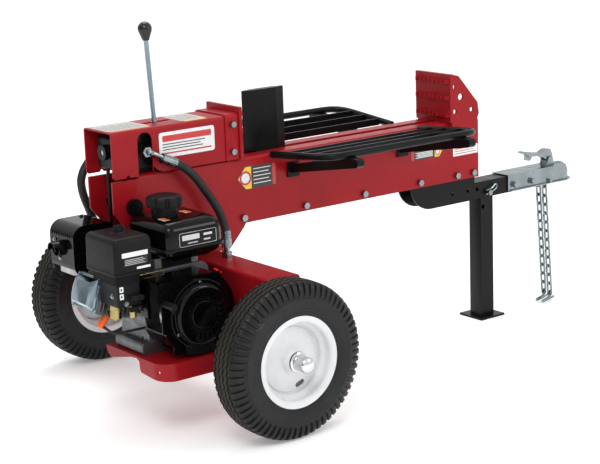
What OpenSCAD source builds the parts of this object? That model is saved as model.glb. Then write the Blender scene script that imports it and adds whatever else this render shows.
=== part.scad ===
// Towable dual-action log splitter with a horizontal beam, a petrol engine and two road wheels.
// Millimetres. +X runs along the beam from the engine to the hitch, +Y is the far side, +Z is up.
// The modules place everything from the axle line, and placed() moves it so that the origin is the
// middle of the footprint on the ground.

/* [Wheels] */
// Overall diameter of a tyre
tyre_d = 406; // [400:1:412]
// Distance between the two wheel centres
track_w = 911.6; // [900:0.2:930]
// Width of a tyre at its sidewalls
tyre_w = 104; // [98:1:106]
// Diameter of the rim's flange
rim_d = 235.6; // [232:0.2:238]
// Diameter of the axle spindles
spindle_d = 25.4; // [24:0.1:26]

/* [Beam] */
// Width over the beam's side plates
beam_w = 120.8; // [118:0.2:124]
// Height of the beam's lower edge above the ground
beam_z0 = 456.5; // [450:0.5:462]
// Height of the beam's top above the ground
beam_z1 = 634.5; // [630:0.5:640]
// Thickness of the beam's plates
beam_t = 6; // [5:0.5:6]
// Width of the slot along the beam's top
slot_w = 27; // [26:0.5:30]

/* [Splitting gear] */
// Travel of the wedge
stroke = 520; // [400:5:520]
// Height of the wedge's top above the ground
wedge_z1 = 803; // [780:1:820]
// Thickness of the wedge
wedge_t = 24; // [20:0.5:25]
// Bore of the hydraulic cylinder
bore_d = 89.8; // [86:0.2:90]
// Diameter of the piston rod
rod_d = 44.9; // [38:0.1:46]
// Angle that the control lever moves each way from neutral
lever_angle = 14; // [8:1:18]

/* [Log cradles] */
// Distance of a cradle's outer tube from the middle of the beam
cradle_y = 314; // [300:2:330]
// Diameter of a cradle's tube
cradle_tube_d = 20; // [16:1:22]

/* [Tank and tray] */
// Height of the hydraulic tank's top above the ground
tank_z1 = 393; // [385:1:396]
// Height of the hydraulic tank's floor above the ground
tank_z0 = 146; // [140:1:160]
// Length of the hydraulic tank across the machine
tank_len = 796; // [780:2:798]
// Height of the engine tray's top above the ground
tray_z = 205; // [203:1:207]

/* [Hitch] */
// Diameter of the tow ball that the coupler takes
ball_d = 50.8; // [50:0.1:51]
// Width of the square front leg
leg_w = 50.8; // [48:0.2:51]
// Number of links in each safety chain
chain_links = 13; // [10:1:13]

/* [Engine] */
// Height of the crankshaft above the ground
crank_z = 316; // [314:1:318]
// Radius of the fan shroud
shroud_r = 108; // [104:1:110]
// Angle of the cylinder above level
cylinder_tilt = 16; // [12:1:20]

/* [Hidden] */
$fn = 64;
HULL_FN = 32;
EPS = 0.01;
RED = "firebrick";
BLACK = "#1b1b1d";
ZINC = "#b9c0c6";
STEEL = "silver";

// wheels
wheel_y = track_w / 2;
tyre_r = tyre_d / 2;
rim_r = rim_d / 2;
bead_r = 101.6;
hub_r = 28;
spindle_r = spindle_d / 2;
running_gap = 0.05;
free_gap = 0.3;

// beam
beam_x0 = -238;
beam_x1 = 1029;
flange_x0 = -160;
beam_y = beam_w / 2;
web_y = beam_y - beam_t;
bolt_xs = [162.5, 373, 583.5, 794, 939.5, 1005.5];
bolt_z = 472;

// hydraulic cylinder
cyl_z = 556;
cyl_x0 = -150;
cyl_x1 = 480;
barrel_r = 50;
bore_r = bore_d / 2;
rod_r = rod_d / 2;
pin_x = -179;
piston_x = -126;
piston_len = 40;
gland_x = 440;
lug_x0 = 484;
lug_x1 = 506;

// housing and control
housing_y = 66.9;
housing_t = 4;
housing_z1 = 755.3;
housing_x1 = 151.3;
port_x = -140;
port_z = 696;
lever_x = -63;
lever_z = 712;
lever_lean = -3;

// plates
rear_x = 151.3;
fixed_x = 905.4;
plate_y = 75.7;
tooth_rows = [657.5, 708, 756];
teeth_per_row = 8;

// wedge
wedge_x0 = 215.8;
wedge_x1 = 355.3;

// tank and tray
tank_x0 = -10;
tank_x1 = 90;
tank_t = 4;
tray_x0 = -271;
tray_y0 = -304;
tray_y1 = -38;
sheet_t = 4;

// tow bar, leg and coupler
leg_x = 1095;
leg_pin_z = 393;
leg_pin_r = 7.9;
tow_y = 30;
tow_top_z = 430;
coupler_y = 35;
ball_x = 1430;
ball_z = 407.5;
socket_r = ball_d / 2 + 0.3;
latch_x = 1381;
latch_z = 453;
chain_x = 1354;
chain_y = 13;
chain_pin_z = 392;
wire_r = 2.75;
link_a = 17;
chain_lean = -4;
link_pitch = 2 * link_a - 2 * wire_r - 0.3;

// engine, drawn round its own datum and moved by engine_at
engine_at = [-31, -52, 13];
shaft_z = crank_z - engine_at[2];
deck_z = tray_z - engine_at[2];
crank_x = -116;
recoil_y = -262;
shroud_y = -240;
case_y0 = -141;
case_y1 = -11;
head_y = -62;
cover_dist = 232;
guard_tip_x = -345;
engine_bolt_xs = [-196, -46];
engine_bolt_ys = [-112, -38];

// the origin is halfway between the valve cover's face and the coupler's lip
cover_reach_x = engine_at[0] + crank_x - (cover_dist + 10) * cos(cylinder_tilt) - 28 * sin(cylinder_tilt);
coupler_reach_x = ball_x + 39;
mid_x = (cover_reach_x + coupler_reach_x) / 2;

// hose routes, from fitting to fitting
return_route = [
    [-86, -92, 668], [-60, -93, 656], [-34, -94, 638], [-8, -96, 612], [14, -99, 580],
    [34, -102, 550], [50, -106, 520], [60, -111, 490], [64, -117, 462], [63, -120, 440]
];
pressure_route = [
    [-178, 94, 683], [-196, 95, 672], [-214, 95, 657], [-229, 95, 638], [-238, 95, 615],
    [-237, 96, 590], [-230, 98, 565], [-220, 100, 540], [-208, 104, 512], [-194, 109, 484],
    [-178, 114, 456], [-162, 118, 430], [-151, 120, 409], [-147, 120, 393]
];
suction_route = [
    [-30, 120, 215], [-48, 120, 215], [-68, 119, 216], [-90, 118, 219], [-110, 116, 225],
    [-127, 115, 233], [-140, 113.5, 244], [-146, 113, 254], [-147, 113, 262]
];
hose_r = 11;
hose_sides = 10;

// ---------- shared shapes ----------

module placed() { translate([-mid_x, 0, 0]) children(); }

module on_engine() { placed() translate(engine_at) children(); }

// a plate drawn in the XZ plane, from y0 to y1
module side_plate(y0, y1) {
    translate([0, y1, 0]) rotate([90, 0, 0]) linear_extrude(y1 - y0) children();
}

// a plate drawn in the YZ plane, from x0 to x1
module cross_plate(x0, x1) {
    translate([x0, 0, 0]) rotate([90, 0, 90]) linear_extrude(x1 - x0) children();
}

module box(lo, hi) { translate(lo) cube(hi - lo); }

module rod_x(x0, x1, y, z, r) { translate([x0, y, z]) rotate([0, 90, 0]) cylinder(h = x1 - x0, r = r); }

module rod_y(y0, y1, x, z, r) { translate([x, y1, z]) rotate([90, 0, 0]) cylinder(h = y1 - y0, r = r); }

module rod_z(z0, z1, x, y, r) { translate([x, y, z0]) cylinder(h = z1 - z0, r = r); }

// a square with exact round corners of radius r
module round_square(lo, hi, r) {
    translate(lo + [r, 0]) square(hi - lo - [2 * r, 0]);
    translate(lo + [0, r]) square(hi - lo - [0, 2 * r]);
    for (x = [lo[0] + r, hi[0] - r], y = [lo[1] + r, hi[1] - r])
        translate([x, y]) circle(r);
}

// a hexagon head and its shank along Y, head facing -Y
module hex_bolt_y(x, y_head, z, across, head_h, shank_r, shank_len) {
    rod_y(y_head, y_head + head_h, x, z, across / 2);
    translate([x, y_head, z]) rotate([90, 0, 0])
        cylinder(h = head_h * 0.6, r = across / 2 / cos(30), $fn = 6);
    rod_y(y_head + head_h - EPS, y_head + head_h + shank_len, x, z, shank_r);
}

// direction helpers for swept tubes; ref is a direction that the route never takes
function unit(v) = v / norm(v);
function route_dir(route, i) =
    let (last = len(route) - 1)
    unit(route[min(i + 1, last)] - route[max(i - 1, 0)]);
function loop_dir(route, i) =
    let (n = len(route))
    unit(route[(i + 1) % n] - route[(i + n - 1) % n]);
function ring_at(p, d, r, sides, ref) =
    let (side = unit(cross(d, ref)), up = cross(side, d))
    [for (k = [0:sides - 1]) p + r * (cos(360 * k / sides) * side + sin(360 * k / sides) * up)];

// a route with its inner corners bent to curves that start a distance r from each corner
function rounded(route, r) = concat(
    [route[0]],
    [for (i = [1:len(route) - 2])
        let (a = unit(route[i - 1] - route[i]), b = unit(route[i + 1] - route[i]))
        for (t = [0:0.25:1]) route[i] + r * ((1 - t) * (1 - t) * a + t * t * b)],
    [route[len(route) - 1]]
);

// faces between neighbouring rings of a swept tube
function tube_walls(first, rings, sides) = [
    for (i = [0:first], k = [0:sides - 1])
        let (n = (i + 1) % rings)
        [i * sides + k, i * sides + (k + 1) % sides, n * sides + (k + 1) % sides, n * sides + k]
];

// a round tube of radius r swept along the points of a route
module swept_tube(route, r, sides, ref) {
    rings = len(route);
    points = [for (i = [0:rings - 1]) each ring_at(route[i], route_dir(route, i), r, sides, ref)];
    near_cap = [[for (k = [sides - 1:-1:0]) k]];
    far_cap = [[for (k = [0:sides - 1]) (rings - 1) * sides + k]];
    polyhedron(points = points, faces = concat(tube_walls(rings - 2, rings, sides), near_cap, far_cap));
}

// the same round a closed loop
module swept_loop(route, r, sides, ref) {
    rings = len(route);
    points = [for (i = [0:rings - 1]) each ring_at(route[i], loop_dir(route, i), r, sides, ref)];
    polyhedron(points = points, faces = tube_walls(rings - 1, rings, sides));
}

// ---------- beam and plates ----------

module beam_outline() {
    polygon([
        [beam_x0, 545], [beam_x0 + 21, 519], [beam_x0 + 76, beam_z0], [beam_x1, beam_z0],
        [beam_x1, beam_z1], [flange_x0, beam_z1], [flange_x0, beam_z1 - 7], [beam_x0, beam_z1 - 7]
    ]);
}

// one formed side plate: web, rounded bend and inward top flange (near side as drawn)
module beam_side() {
    bend = beam_t + 2;
    difference() {
        union() {
            side_plate(-beam_y, -web_y) beam_outline();
            box([flange_x0, -web_y - 1, beam_z1 - beam_t], [beam_x1, -slot_w / 2, beam_z1]);
        }
        difference() {
            box([flange_x0 - 1, -beam_y - 1, beam_z1 - bend], [beam_x1 + 1, -beam_y + bend, beam_z1 + 1]);
            rod_x(flange_x0 - 2, beam_x1 + 2, -beam_y + bend, beam_z1 - bend, bend);
        }
        for (x = bolt_xs)
            rod_y(-beam_y - 1, -web_y + 1, x, bolt_z, 5.5);
        rod_y(-beam_y - 1, -web_y + 1, pin_x, cyl_z, 12.7);
    }
}

module beam_near() { color(RED) placed() beam_side(); }

module beam_far() { color(RED) placed() mirror([0, 1, 0]) beam_side(); }

module frame_bolts() {
    color(ZINC) placed() {
        for (x = bolt_xs) {
            hex_bolt_y(x, -beam_y - 6, bolt_z, 17, 6, 5.4, beam_w + 3);
            translate([x, beam_y + 9, bolt_z]) rotate([90, 0, 0]) cylinder(h = 9, r = 9.6, $fn = 6);
            rod_y(-web_y, web_y, x, bolt_z, 9);
        }
        for (side = [0, 1]) mirror([0, side, 0]) {
            hex_bolt_y(130.4, -housing_y - 11, 732, 15, 7, 4, 3);
            hex_bolt_y(128.6, -housing_y - 11, 659, 15, 7, 4, 3);
        }
        for (x = [1203, 1278]) {
            hex_bolt_y(x, -coupler_y - 7, 401.5, 17, 7, 6, 2 * coupler_y + 4);
            translate([x, coupler_y + 9, 401.5]) rotate([90, 0, 0]) cylinder(h = 9, r = 9.6, $fn = 6);
        }
        rod_y(-42, 42, chain_x, chain_pin_z, 4);
        for (side = [0, 1]) mirror([0, side, 0])
            hex_bolt_y(chain_x, -coupler_y - 6, chain_pin_z, 10, 6, 4, 1);
        translate(engine_at) for (x = engine_bolt_xs, y = engine_bolt_ys) {
            rod_z(deck_z - sheet_t - 8, 222, x, y, 4);
            translate([x, y, 222 - EPS]) cylinder(h = 7, r = 8, $fn = 6);
            translate([x, y, deck_z - sheet_t - 8]) cylinder(h = 8 - EPS, r = 8, $fn = 6);
        }
    }
}

// a row of blunt teeth that faces +X
module tooth_row(z) {
    pitch = 2 * (plate_y - 4) / teeth_per_row;
    for (i = [0:teeth_per_row - 1])
        translate([0, -plate_y + 4 + pitch * (i + 0.5), z - 6])
            linear_extrude(12) polygon([
                [-1, -pitch / 2], [5, -pitch / 2], [10, -1.5], [10, 1.5], [5, pitch / 2], [-1, pitch / 2]
            ]);
}

module gusset_outline() {
    polygon([
        [fixed_x + 6, 777], [fixed_x + 33, 770], [fixed_x + 108, 684.5], [fixed_x + 113, 652],
        [fixed_x + 104, 631], [fixed_x + 6, 631]
    ]);
}

module fixed_plate() {
    color(RED) placed() {
        box([fixed_x, -plate_y, 634.8], [fixed_x + 12, plate_y, 776.7]);
        for (z = tooth_rows)
            translate([fixed_x, 0, 0]) mirror([1, 0, 0]) tooth_row(z);
        for (side = [0, 1]) mirror([0, side, 0]) {
            difference() {
                side_plate(-plate_y, -plate_y + 6) gusset_outline();
                rod_y(-plate_y - 1, -plate_y + 7, 919, 739, 7);
                rod_y(-plate_y - 1, -plate_y + 7, 946, 707.5, 9.75);
                rod_y(-plate_y - 1, -plate_y + 7, 989, 665.5, 7);
                rod_y(-plate_y - 1, -plate_y + 7, 922.5, 666, 7);
            }
            box([fixed_x + 6, -plate_y, 612], [fixed_x + 104, -beam_y, 636]);
        }
    }
}

module rear_plate() {
    color(RED) placed() {
        box([rear_x, -76.6, 634.8], [rear_x + 10, 76.6, 775]);
        for (z = tooth_rows)
            translate([rear_x + 10, 0, 0]) tooth_row(z);
    }
}

// ---------- valve housing and control ----------

module housing_wall_outline() {
    difference() {
        polygon([
            [beam_x0, housing_z1], [beam_x0, 640], [-232, 634], [-164, 634], [-161, 637], [-117, 637],
            [-114, 655], [-104, 643], [-88, 636], [housing_x1, 636], [housing_x1, housing_z1]
        ]);
        translate([-139, 723]) circle(22);
        translate([-161, 600]) square([44, 123]);
        polygon([[-201, 633], [-193, 642], [-185, 633]]);
    }
}

module valve_housing() {
    inner = housing_y - housing_t;
    color(RED) placed() {
        for (side = [0, 1]) mirror([0, side, 0])
            side_plate(-housing_y, -inner) intersection() {
                housing_wall_outline();
                translate([beam_x0 - 1, 600]) square([400, housing_z1 - 8 - 600]);
            }
        difference() {
            cross_plate(beam_x0, housing_x1) difference() {
                round_square([-housing_y, housing_z1 - 40], [housing_y, housing_z1], 8);
                round_square([-inner, housing_z1 - 60], [inner, housing_z1 - housing_t], 4);
                translate([-100, housing_z1 - 60]) square([200, 52 - EPS]);
            }
            box([-98.5, -9, housing_z1 - 10], [-18.6, 9, housing_z1 + 1]);
        }
        difference() {
            cross_plate(110, housing_x1) difference() {
                round_square([-housing_y - 4, housing_z1 - 60], [housing_y + 4, housing_z1 + 4], 10);
                round_square([-housing_y, housing_z1 - 80], [housing_y, housing_z1], 8);
                translate([-100, housing_z1 - 90]) square([200, 60]);
            }
            rod_y(-housing_y - 5, housing_y + 5, 130.4, 732, 4.2);
        }
        for (side = [0, 1]) mirror([0, side, 0]) difference() {
            box([110, -housing_y - 4, 636], [housing_x1, -housing_y, housing_z1 - 25]);
            rod_y(-housing_y - 5, -housing_y + 1, 130.4, 732, 4.2);
            rod_y(-housing_y - 5, -housing_y + 1, 128.6, 659, 4.2);
        }
    }
}

module valve_body() {
    color(BLACK) placed() difference() {
        union() {
            side_plate(-40, 40) round_square([-215, 650], [-98, 735], 8);
            rod_x(-228, -98, 0, port_z, 20);
            rod_x(-100, -88, 0, port_z, 22);
            for (y = [-18, 12])
                side_plate(y, y + 6) polygon([[-99, 680], [-54, 700], [-54, 724], [-99, 716]]);
            rod_y(-20, 20, lever_x, lever_z, 3.9);
            box([-158, -30, beam_z1 + 0.2], [-102, 30, 651]);
        }
        rod_x(-229, -87, 0, port_z, 8.05);
        for (side = [0, 1]) mirror([0, side, 0])
            rod_y(-41, -12, port_x, port_z, 9);
        rod_z(beam_z1, 650, -120, 0, 7.4);
    }
}

module valve_spool() {
    color(STEEL) placed() {
        rod_x(-226, -78, 0, port_z, 8);
        rod_x(-200, -176, 0, port_z, 7.9);
        side_plate(3.2, 5.2) round_square([-82, port_z - 5], [-58, port_z + 5], 4);
        side_plate(-5.2, -3.2) round_square([-82, port_z - 5], [-58, port_z + 5], 4);
        side_plate(-5.2, 5.2) round_square([-86, port_z - 5], [-76, port_z + 5], 4);
    }
}

module lever_rod() {
    color(STEEL) placed() difference() {
        union() {
            translate([lever_x, 0, lever_z]) rotate([0, lever_lean, 0]) {
                cylinder(h = 259, r = 6.3);
                translate([0, 0, 30]) cylinder(h = 14, r = 8);
            }
            rod_y(-7, 7, lever_x, lever_z, 8);
            box([lever_x - 5, -2.8, port_z - 5], [lever_x + 1, 2.8, lever_z]);
        }
        rod_y(-8, 8, lever_x, lever_z, 3.95);
    }
}

module lever_knob() {
    color(BLACK) placed() translate([lever_x, 0, lever_z]) rotate([0, lever_lean, 0]) translate([0, 0, 259])
        difference() {
            rotate_extrude() intersection() {
                union() {
                    translate([0, 28]) circle(18.5);
                    polygon([[0, -2], [8.5, -2], [17.6, 22], [0, 24]]);
                }
                translate([0, -5]) square([30, 60]);
            }
            translate([0, 0, -3]) cylinder(h = 15, r = 6.3);
        }
}

// ---------- cylinder and wedge ----------

module cylinder_barrel() {
    color(BLACK) placed() difference() {
        union() {
            rod_x(cyl_x0, cyl_x1, 0, cyl_z, barrel_r);
            side_plate(-30, 30) hull() {
                translate([pin_x, cyl_z]) circle(24, $fn = HULL_FN);
                translate([cyl_x0 + 2, cyl_z]) square([2, 60], center = true);
            }
        }
        rod_x(cyl_x0 + 22, cyl_x1 + 1, 0, cyl_z, bore_r);
        rod_y(-31, 31, pin_x, cyl_z, 12.7);
    }
}

module cylinder_gland() {
    color(STEEL) placed() difference() {
        rod_x(gland_x, cyl_x1 + 2, 0, cyl_z, bore_r);
        rod_x(gland_x - 1, cyl_x1 + 3, 0, cyl_z, rod_r + running_gap);
    }
}

module cylinder_pin() {
    color(BLACK) placed() {
        rod_y(-beam_y - 4, beam_y + 8, pin_x, cyl_z, 12.5);
        rod_y(-beam_y - 12, -beam_y, pin_x, cyl_z, 22.5);
        rod_y(beam_y, beam_y + 4, pin_x, cyl_z, 18);
    }
}

module piston_rod() {
    color(STEEL) placed() {
        rod_x(piston_x, piston_x + piston_len, 0, cyl_z, bore_r - running_gap);
        rod_x(piston_x + piston_len, lug_x1 - 6, 0, cyl_z, rod_r);
    }
}

// both edges of the blade are ground to a splitting edge
module wedge_section() {
    edge = 32;
    polygon([
        [wedge_x0, -1.5], [wedge_x0 + edge, -wedge_t / 2], [wedge_x1 - edge, -wedge_t / 2], [wedge_x1, -1.5],
        [wedge_x1, 1.5], [wedge_x1 - edge, wedge_t / 2], [wedge_x0 + edge, wedge_t / 2], [wedge_x0, 1.5]
    ]);
}

module wedge() {
    slider_y = web_y - 1;
    color(BLACK) placed() {
        translate([0, 0, beam_z1 + 0.8]) linear_extrude(wedge_z1 - beam_z1 - 0.8) wedge_section();
        box([wedge_x0 + 34, -12, 620], [wedge_x1 - 34, 12, beam_z1 + 1]);
        box([wedge_x0, -slider_y, 610], [lug_x1, slider_y, 627.5]);
        difference() {
            side_plate(-40, 40) polygon([
                [lug_x0, 520], [lug_x1, 520], [lug_x1, 612], [lug_x0, 612]
            ]);
            rod_x(lug_x0 - 1, lug_x1 + 1, 0, cyl_z, rod_r);
        }
    }
}

// ---------- cradles ----------

// height of a cradle's tube at a distance y from the beam's middle
function cradle_z(y) = 630 + 23 * (y - beam_y) / (cradle_y - beam_y);

module cradle() {
    x0 = 266;
    x1 = 797;
    root_y = beam_y + 0.2;
    frame_route = [
        [x0, root_y + 0.9, cradle_z(beam_y)], [x0, cradle_y, cradle_z(cradle_y)],
        [x1, cradle_y, cradle_z(cradle_y)], [x1, root_y + 0.9, cradle_z(beam_y)]
    ];
    swept_tube(rounded(frame_route, 62), cradle_tube_d / 2, 12, [0, 0, 1]);
    for (y = [116, 178, 238])
        box([x0 + 4, y - 3, cradle_z(y) - 12], [x1 - 4, y + 3, cradle_z(y) + 8]);
    for (x = [334, 729]) {
        cross_plate(x - 12, x + 12) polygon([
            [root_y, 594], [root_y, 571], [350, 622], [356, 628], [356, 639], [350, 645],
            [cradle_y - 14, 645]
        ]);
        box([x - 20, root_y, 560], [x + 20, root_y + 5, 602]);
    }
}

module cradle_near() { color(BLACK) placed() mirror([0, 1, 0]) cradle(); }

module cradle_far() { color(BLACK) placed() cradle(); }

// ---------- tank, pedestal, tray, axle ----------

module oil_tank() {
    half = tank_len / 2;
    color(RED) placed() difference() {
        side_plate(-half, half) round_square([tank_x0, tank_z0], [tank_x1, tank_z1], 8);
        side_plate(-half + tank_t, half - tank_t)
            round_square([tank_x0 + tank_t, tank_z0 + tank_t], [tank_x1 - tank_t, tank_z1 - tank_t], 4);
        rod_z(tank_z1 - tank_t - 1, tank_z1 + 1, 62, -121, 10);
        rod_z(tank_z1 - tank_t - 1, tank_z1 + 1, 40, 240, 16);
        rod_x(tank_x0 - 1, tank_x0 + tank_t + 1, 120, 215, 12);
    }
}

module tank_breather() {
    color(BLACK) placed() {
        rod_z(tank_z1 - 12, tank_z1 + 4, 40, 240, 15.8);
        rod_z(tank_z1 + 0.2, tank_z1 + 6, 40, 240, 23);
        rod_z(tank_z1 + 5, tank_z1 + 34, 40, 240, 20);
    }
}

module pedestal() {
    color(RED) placed() {
        for (side = [0, 1]) mirror([0, side, 0])
            side_plate(-beam_y + 0.2, -web_y) polygon([
                [-70, beam_z0], [-10, tank_z1 - 30], [-10, tank_z1], [tank_x1, tank_z1], [tank_x1, 366],
                [165, 446], [172, beam_z0]
            ]);
        box([-64, -web_y, beam_z0 - 8], [166, web_y, beam_z0 - 2]);
        box([10, -web_y, tank_z1], [16, web_y, beam_z0 - 7]);
        box([80, -web_y, tank_z1], [86, web_y, beam_z0 - 7]);
    }
}

module axle() {
    color(STEEL) placed() for (side = [0, 1]) mirror([0, side, 0]) {
        rod_y(-515, -tank_len / 2 - 5, 0, tyre_r, spindle_r);
        side_plate(-tank_len / 2 - 6, -tank_len / 2) round_square([-26, tyre_r - 30], [34, tyre_r + 30], 6);
        rod_y(-514, -505, 0, tyre_r, 16);
    }
}

module front_skirt_outline() {
    polygon([
        [tray_y0, tray_z], [tray_y0, 159], [-202, 167], [-197, 175], [-195, 195], [-182, tray_z - 5],
        [-157, tray_z - 7], [-72, 178], [-57, 176], [-44, 185], [tray_y1, tray_z - 6], [tray_y1, tray_z]
    ]);
}

module engine_tray() {
    r = 45;
    color(RED) placed() difference() {
        union() {
            intersection() {
                translate([0, 0, tray_z - 46]) linear_extrude(46) difference() {
                    tray_plan(r);
                    translate([sheet_t, sheet_t]) tray_inner(r);
                }
                union() {
                    cross_plate(tray_x0 - 1, tray_x0 + r) front_skirt_outline();
                    box([tray_x0 + r - EPS, tray_y0 - 1, tray_z - 46], [tank_x0, -152, tray_z]);
                    box([tray_x0 + r - EPS, -152, tray_z - 26], [tank_x0, tray_y1 + 1, tray_z]);
                }
            }
            translate([0, 0, tray_z - sheet_t]) linear_extrude(sheet_t) tray_plan(r);
        }
        translate(engine_at) for (x = engine_bolt_xs, y = engine_bolt_ys)
            rod_z(deck_z - sheet_t - 1, deck_z + 1, x, y, 4.5);
        rod_x(tray_x0 - 1, tray_x0 + 20, -278, 183, 4);
    }
}

module tray_plan(r) {
    intersection() {
        round_square([tray_x0, tray_y0], [tank_x0 + r, tray_y1 + 60], r);
        translate([tray_x0, tray_y0]) square([tank_x0 - tray_x0, tray_y1 - tray_y0]);
    }
}

module tray_inner(r) {
    inner = r - sheet_t;
    intersection() {
        round_square([tray_x0, tray_y0], [tank_x0 + r, tray_y1 + 60], inner);
        translate([tray_x0, tray_y0]) square([tank_x0 - tray_x0, tray_y1 - tray_y0 - 2 * sheet_t]);
    }
}

// ---------- hydraulic lines ----------

module hose_end(p, d, len_back) {
    translate(p) rotate([0, acos(d[2]), atan2(d[1], d[0])]) translate([0, 0, -len_back])
        cylinder(h = len_back, r = 13);
}

module bent_pipe(points, bend, r, ref) { swept_tube(rounded(points, bend), r, 10, ref); }

module hydraulic_fittings() {
    last_ret = len(return_route) - 1;
    last_prs = len(pressure_route) - 1;
    pump_x = crank_x + engine_at[0];
    color(ZINC) placed() {
        // return line: valve elbow, bent tube, ferrules, tank fitting
        rod_y(-82, -12.2, port_x, port_z, 8.9);
        translate([port_x, -68, port_z]) rotate([90, 0, 0]) cylinder(h = 14, r = 14, $fn = 6);
        bent_pipe([[port_x, -80, port_z], [port_x + 2, -91, port_z], return_route[0]], 9, 7, [0, 0, 1]);
        hose_end(return_route[0], route_dir(return_route, 0), 22);
        hose_end(return_route[last_ret], -route_dir(return_route, last_ret), 22);
        rod_z(404, 426, 62, -121, 8);
        translate([62, -121, tank_z1 + 0.2]) cylinder(h = 12, r = 15, $fn = 6);
        rod_z(tank_z1 - 10, tank_z1 + 14, 62, -121, 9.8);
        // pressure line: valve elbow, ferrules, pump fitting
        rod_y(12.2, 84, port_x, port_z, 8.9);
        translate([port_x, 82, port_z]) rotate([90, 0, 0]) cylinder(h = 14, r = 14, $fn = 6);
        bent_pipe([[port_x, 81, port_z], [port_x - 2, 94, port_z], pressure_route[0]], 9, 7, [0, 0, 1]);
        hose_end(pressure_route[0], route_dir(pressure_route, 0), 20);
        hose_end(pressure_route[last_prs], -route_dir(pressure_route, last_prs), 20);
        rod_z(358.2, 376, pump_x, 120, 8);
        translate([pump_x, 120, 359.2]) cylinder(h = 12, r = 14, $fn = 6);
        // suction line ends
        rod_x(tank_x0 - 19.8, tank_x0 + 10, 120, 215, 11.8);
        rod_z(262.3, 269.8, pump_x, 113, 11);
        // steel pipe to the rod end of the cylinder, and the port at its closed end
        bent_pipe([[-212, 0, 649.9], [-212, 0, 491], [460, 0, 491], [460, 0, 505.8]], 12, 5, [0, 1, 0]);
        rod_z(606.2, 649.8, -120, 0, 7);
    }
}

module return_hose() { color(BLACK) placed() swept_tube(return_route, hose_r, hose_sides, [0, 1, 0]); }

module pressure_hose() { color(BLACK) placed() swept_tube(pressure_route, hose_r, hose_sides, [0, 1, 0]); }

module suction_hose() { color(BLACK) placed() swept_tube(suction_route, 14, hose_sides, [0, 1, 0]); }

// ---------- wheels ----------

// moves a wheel part, drawn with its axis along Z and its outer face up, to the near side
module near_wheel() { translate([0, -wheel_y, tyre_r]) rotate([90, 0, 0]) children(); }

module far_wheel() { mirror([0, 1, 0]) near_wheel() children(); }

module tyre_shape() {
    half = tyre_w / 2;
    rotate_extrude($fn = 128) difference() {
        polygon([
            [rim_r - 12, half - 9], [rim_r + 2, half - 4], [rim_r + 20, half - 0.6], [rim_r + 38, half],
            [rim_r + 54, half - 2], [tyre_r - 16, half - 6], [tyre_r - 6, half - 11],
            [tyre_r - 1.5, half - 22], [tyre_r, 8], [tyre_r, -8], [tyre_r - 1.5, -half + 22],
            [tyre_r - 6, -half + 11], [tyre_r - 16, -half + 6], [rim_r + 54, -half + 2],
            [rim_r + 38, -half], [rim_r + 20, -half + 0.6],
            [rim_r + 2, -half + 4], [rim_r - 12, -half + 9]
        ]);
        polygon([
            [rim_r - 13, half - 16], [rim_r + 6, half - 13], [rim_r + 36, half - 9], [rim_r + 60, half - 14],
            [tyre_r - 13, half - 26], [tyre_r - 13, -half + 26], [rim_r + 60, -half + 14],
            [rim_r + 36, -half + 9], [rim_r + 6, -half + 13], [rim_r - 13, -half + 16]
        ]);
        for (z = [-24, -8, 8, 24])
            translate([tyre_r - 4, z - 1.6]) square([6, 3.2]);
    }
}

module rim_shape() {
    difference() {
        rotate_extrude($fn = 128) {
            for (side = [0, 1]) mirror([0, side]) polygon([
                [rim_r - 3, 50], [rim_r, 50], [rim_r, 47], [rim_r - 12.2, 45.4], [bead_r + 1.5, 42.5],
                [bead_r + 1.5, 26], [92, 16], [92, -EPS], [88.5, -EPS], [88.5, 18], [bead_r - 2, 28],
                [bead_r - 2, 43], [rim_r - 14, 48.5], [rim_r - 6, 49]
            ]);
            polygon([
                [89, 20], [89, 14], [85, 11], [80, 15], [46, 15], [38, 24], [27, 31], [27, 37], [40, 29],
                [48, 19], [81, 19], [86, 15.5]
            ]);
            translate([26, -42]) square([hub_r - 26 + 1, 83]);
        }
        rotate([0, 0, 15]) translate([0, -74, 5]) linear_extrude(30) round_square([-13, -6], [13, 6], 5.9);
    }
}

module hub_shape() {
    for (z = [-40, 22])
        rotate_extrude() translate([spindle_r + running_gap, z]) square([13.1 - running_gap, 14]);
    rotate_extrude() translate([spindle_r + 0.3, 41]) square([11, 4]);
    rotate_extrude() polygon([
        [17.5, 44], [26, 44], [26, 47], [20.5, 48], [20.5, 80], [18, 86], [8, 90], [0, 91], [0, 89],
        [7, 88], [17, 84], [18.5, 79], [18.5, 48]
    ]);
}

module tyre_near() { color(BLACK) placed() near_wheel() tyre_shape(); }

module rim_near() { color("white") placed() near_wheel() rim_shape(); }

module hub_near() { color(ZINC) placed() near_wheel() hub_shape(); }

module tyre_far() { color(BLACK) placed() far_wheel() tyre_shape(); }

module rim_far() { color("white") placed() far_wheel() rim_shape(); }

module hub_far() { color(ZINC) placed() far_wheel() hub_shape(); }

// ---------- tow bar, leg, coupler, chains ----------

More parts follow.
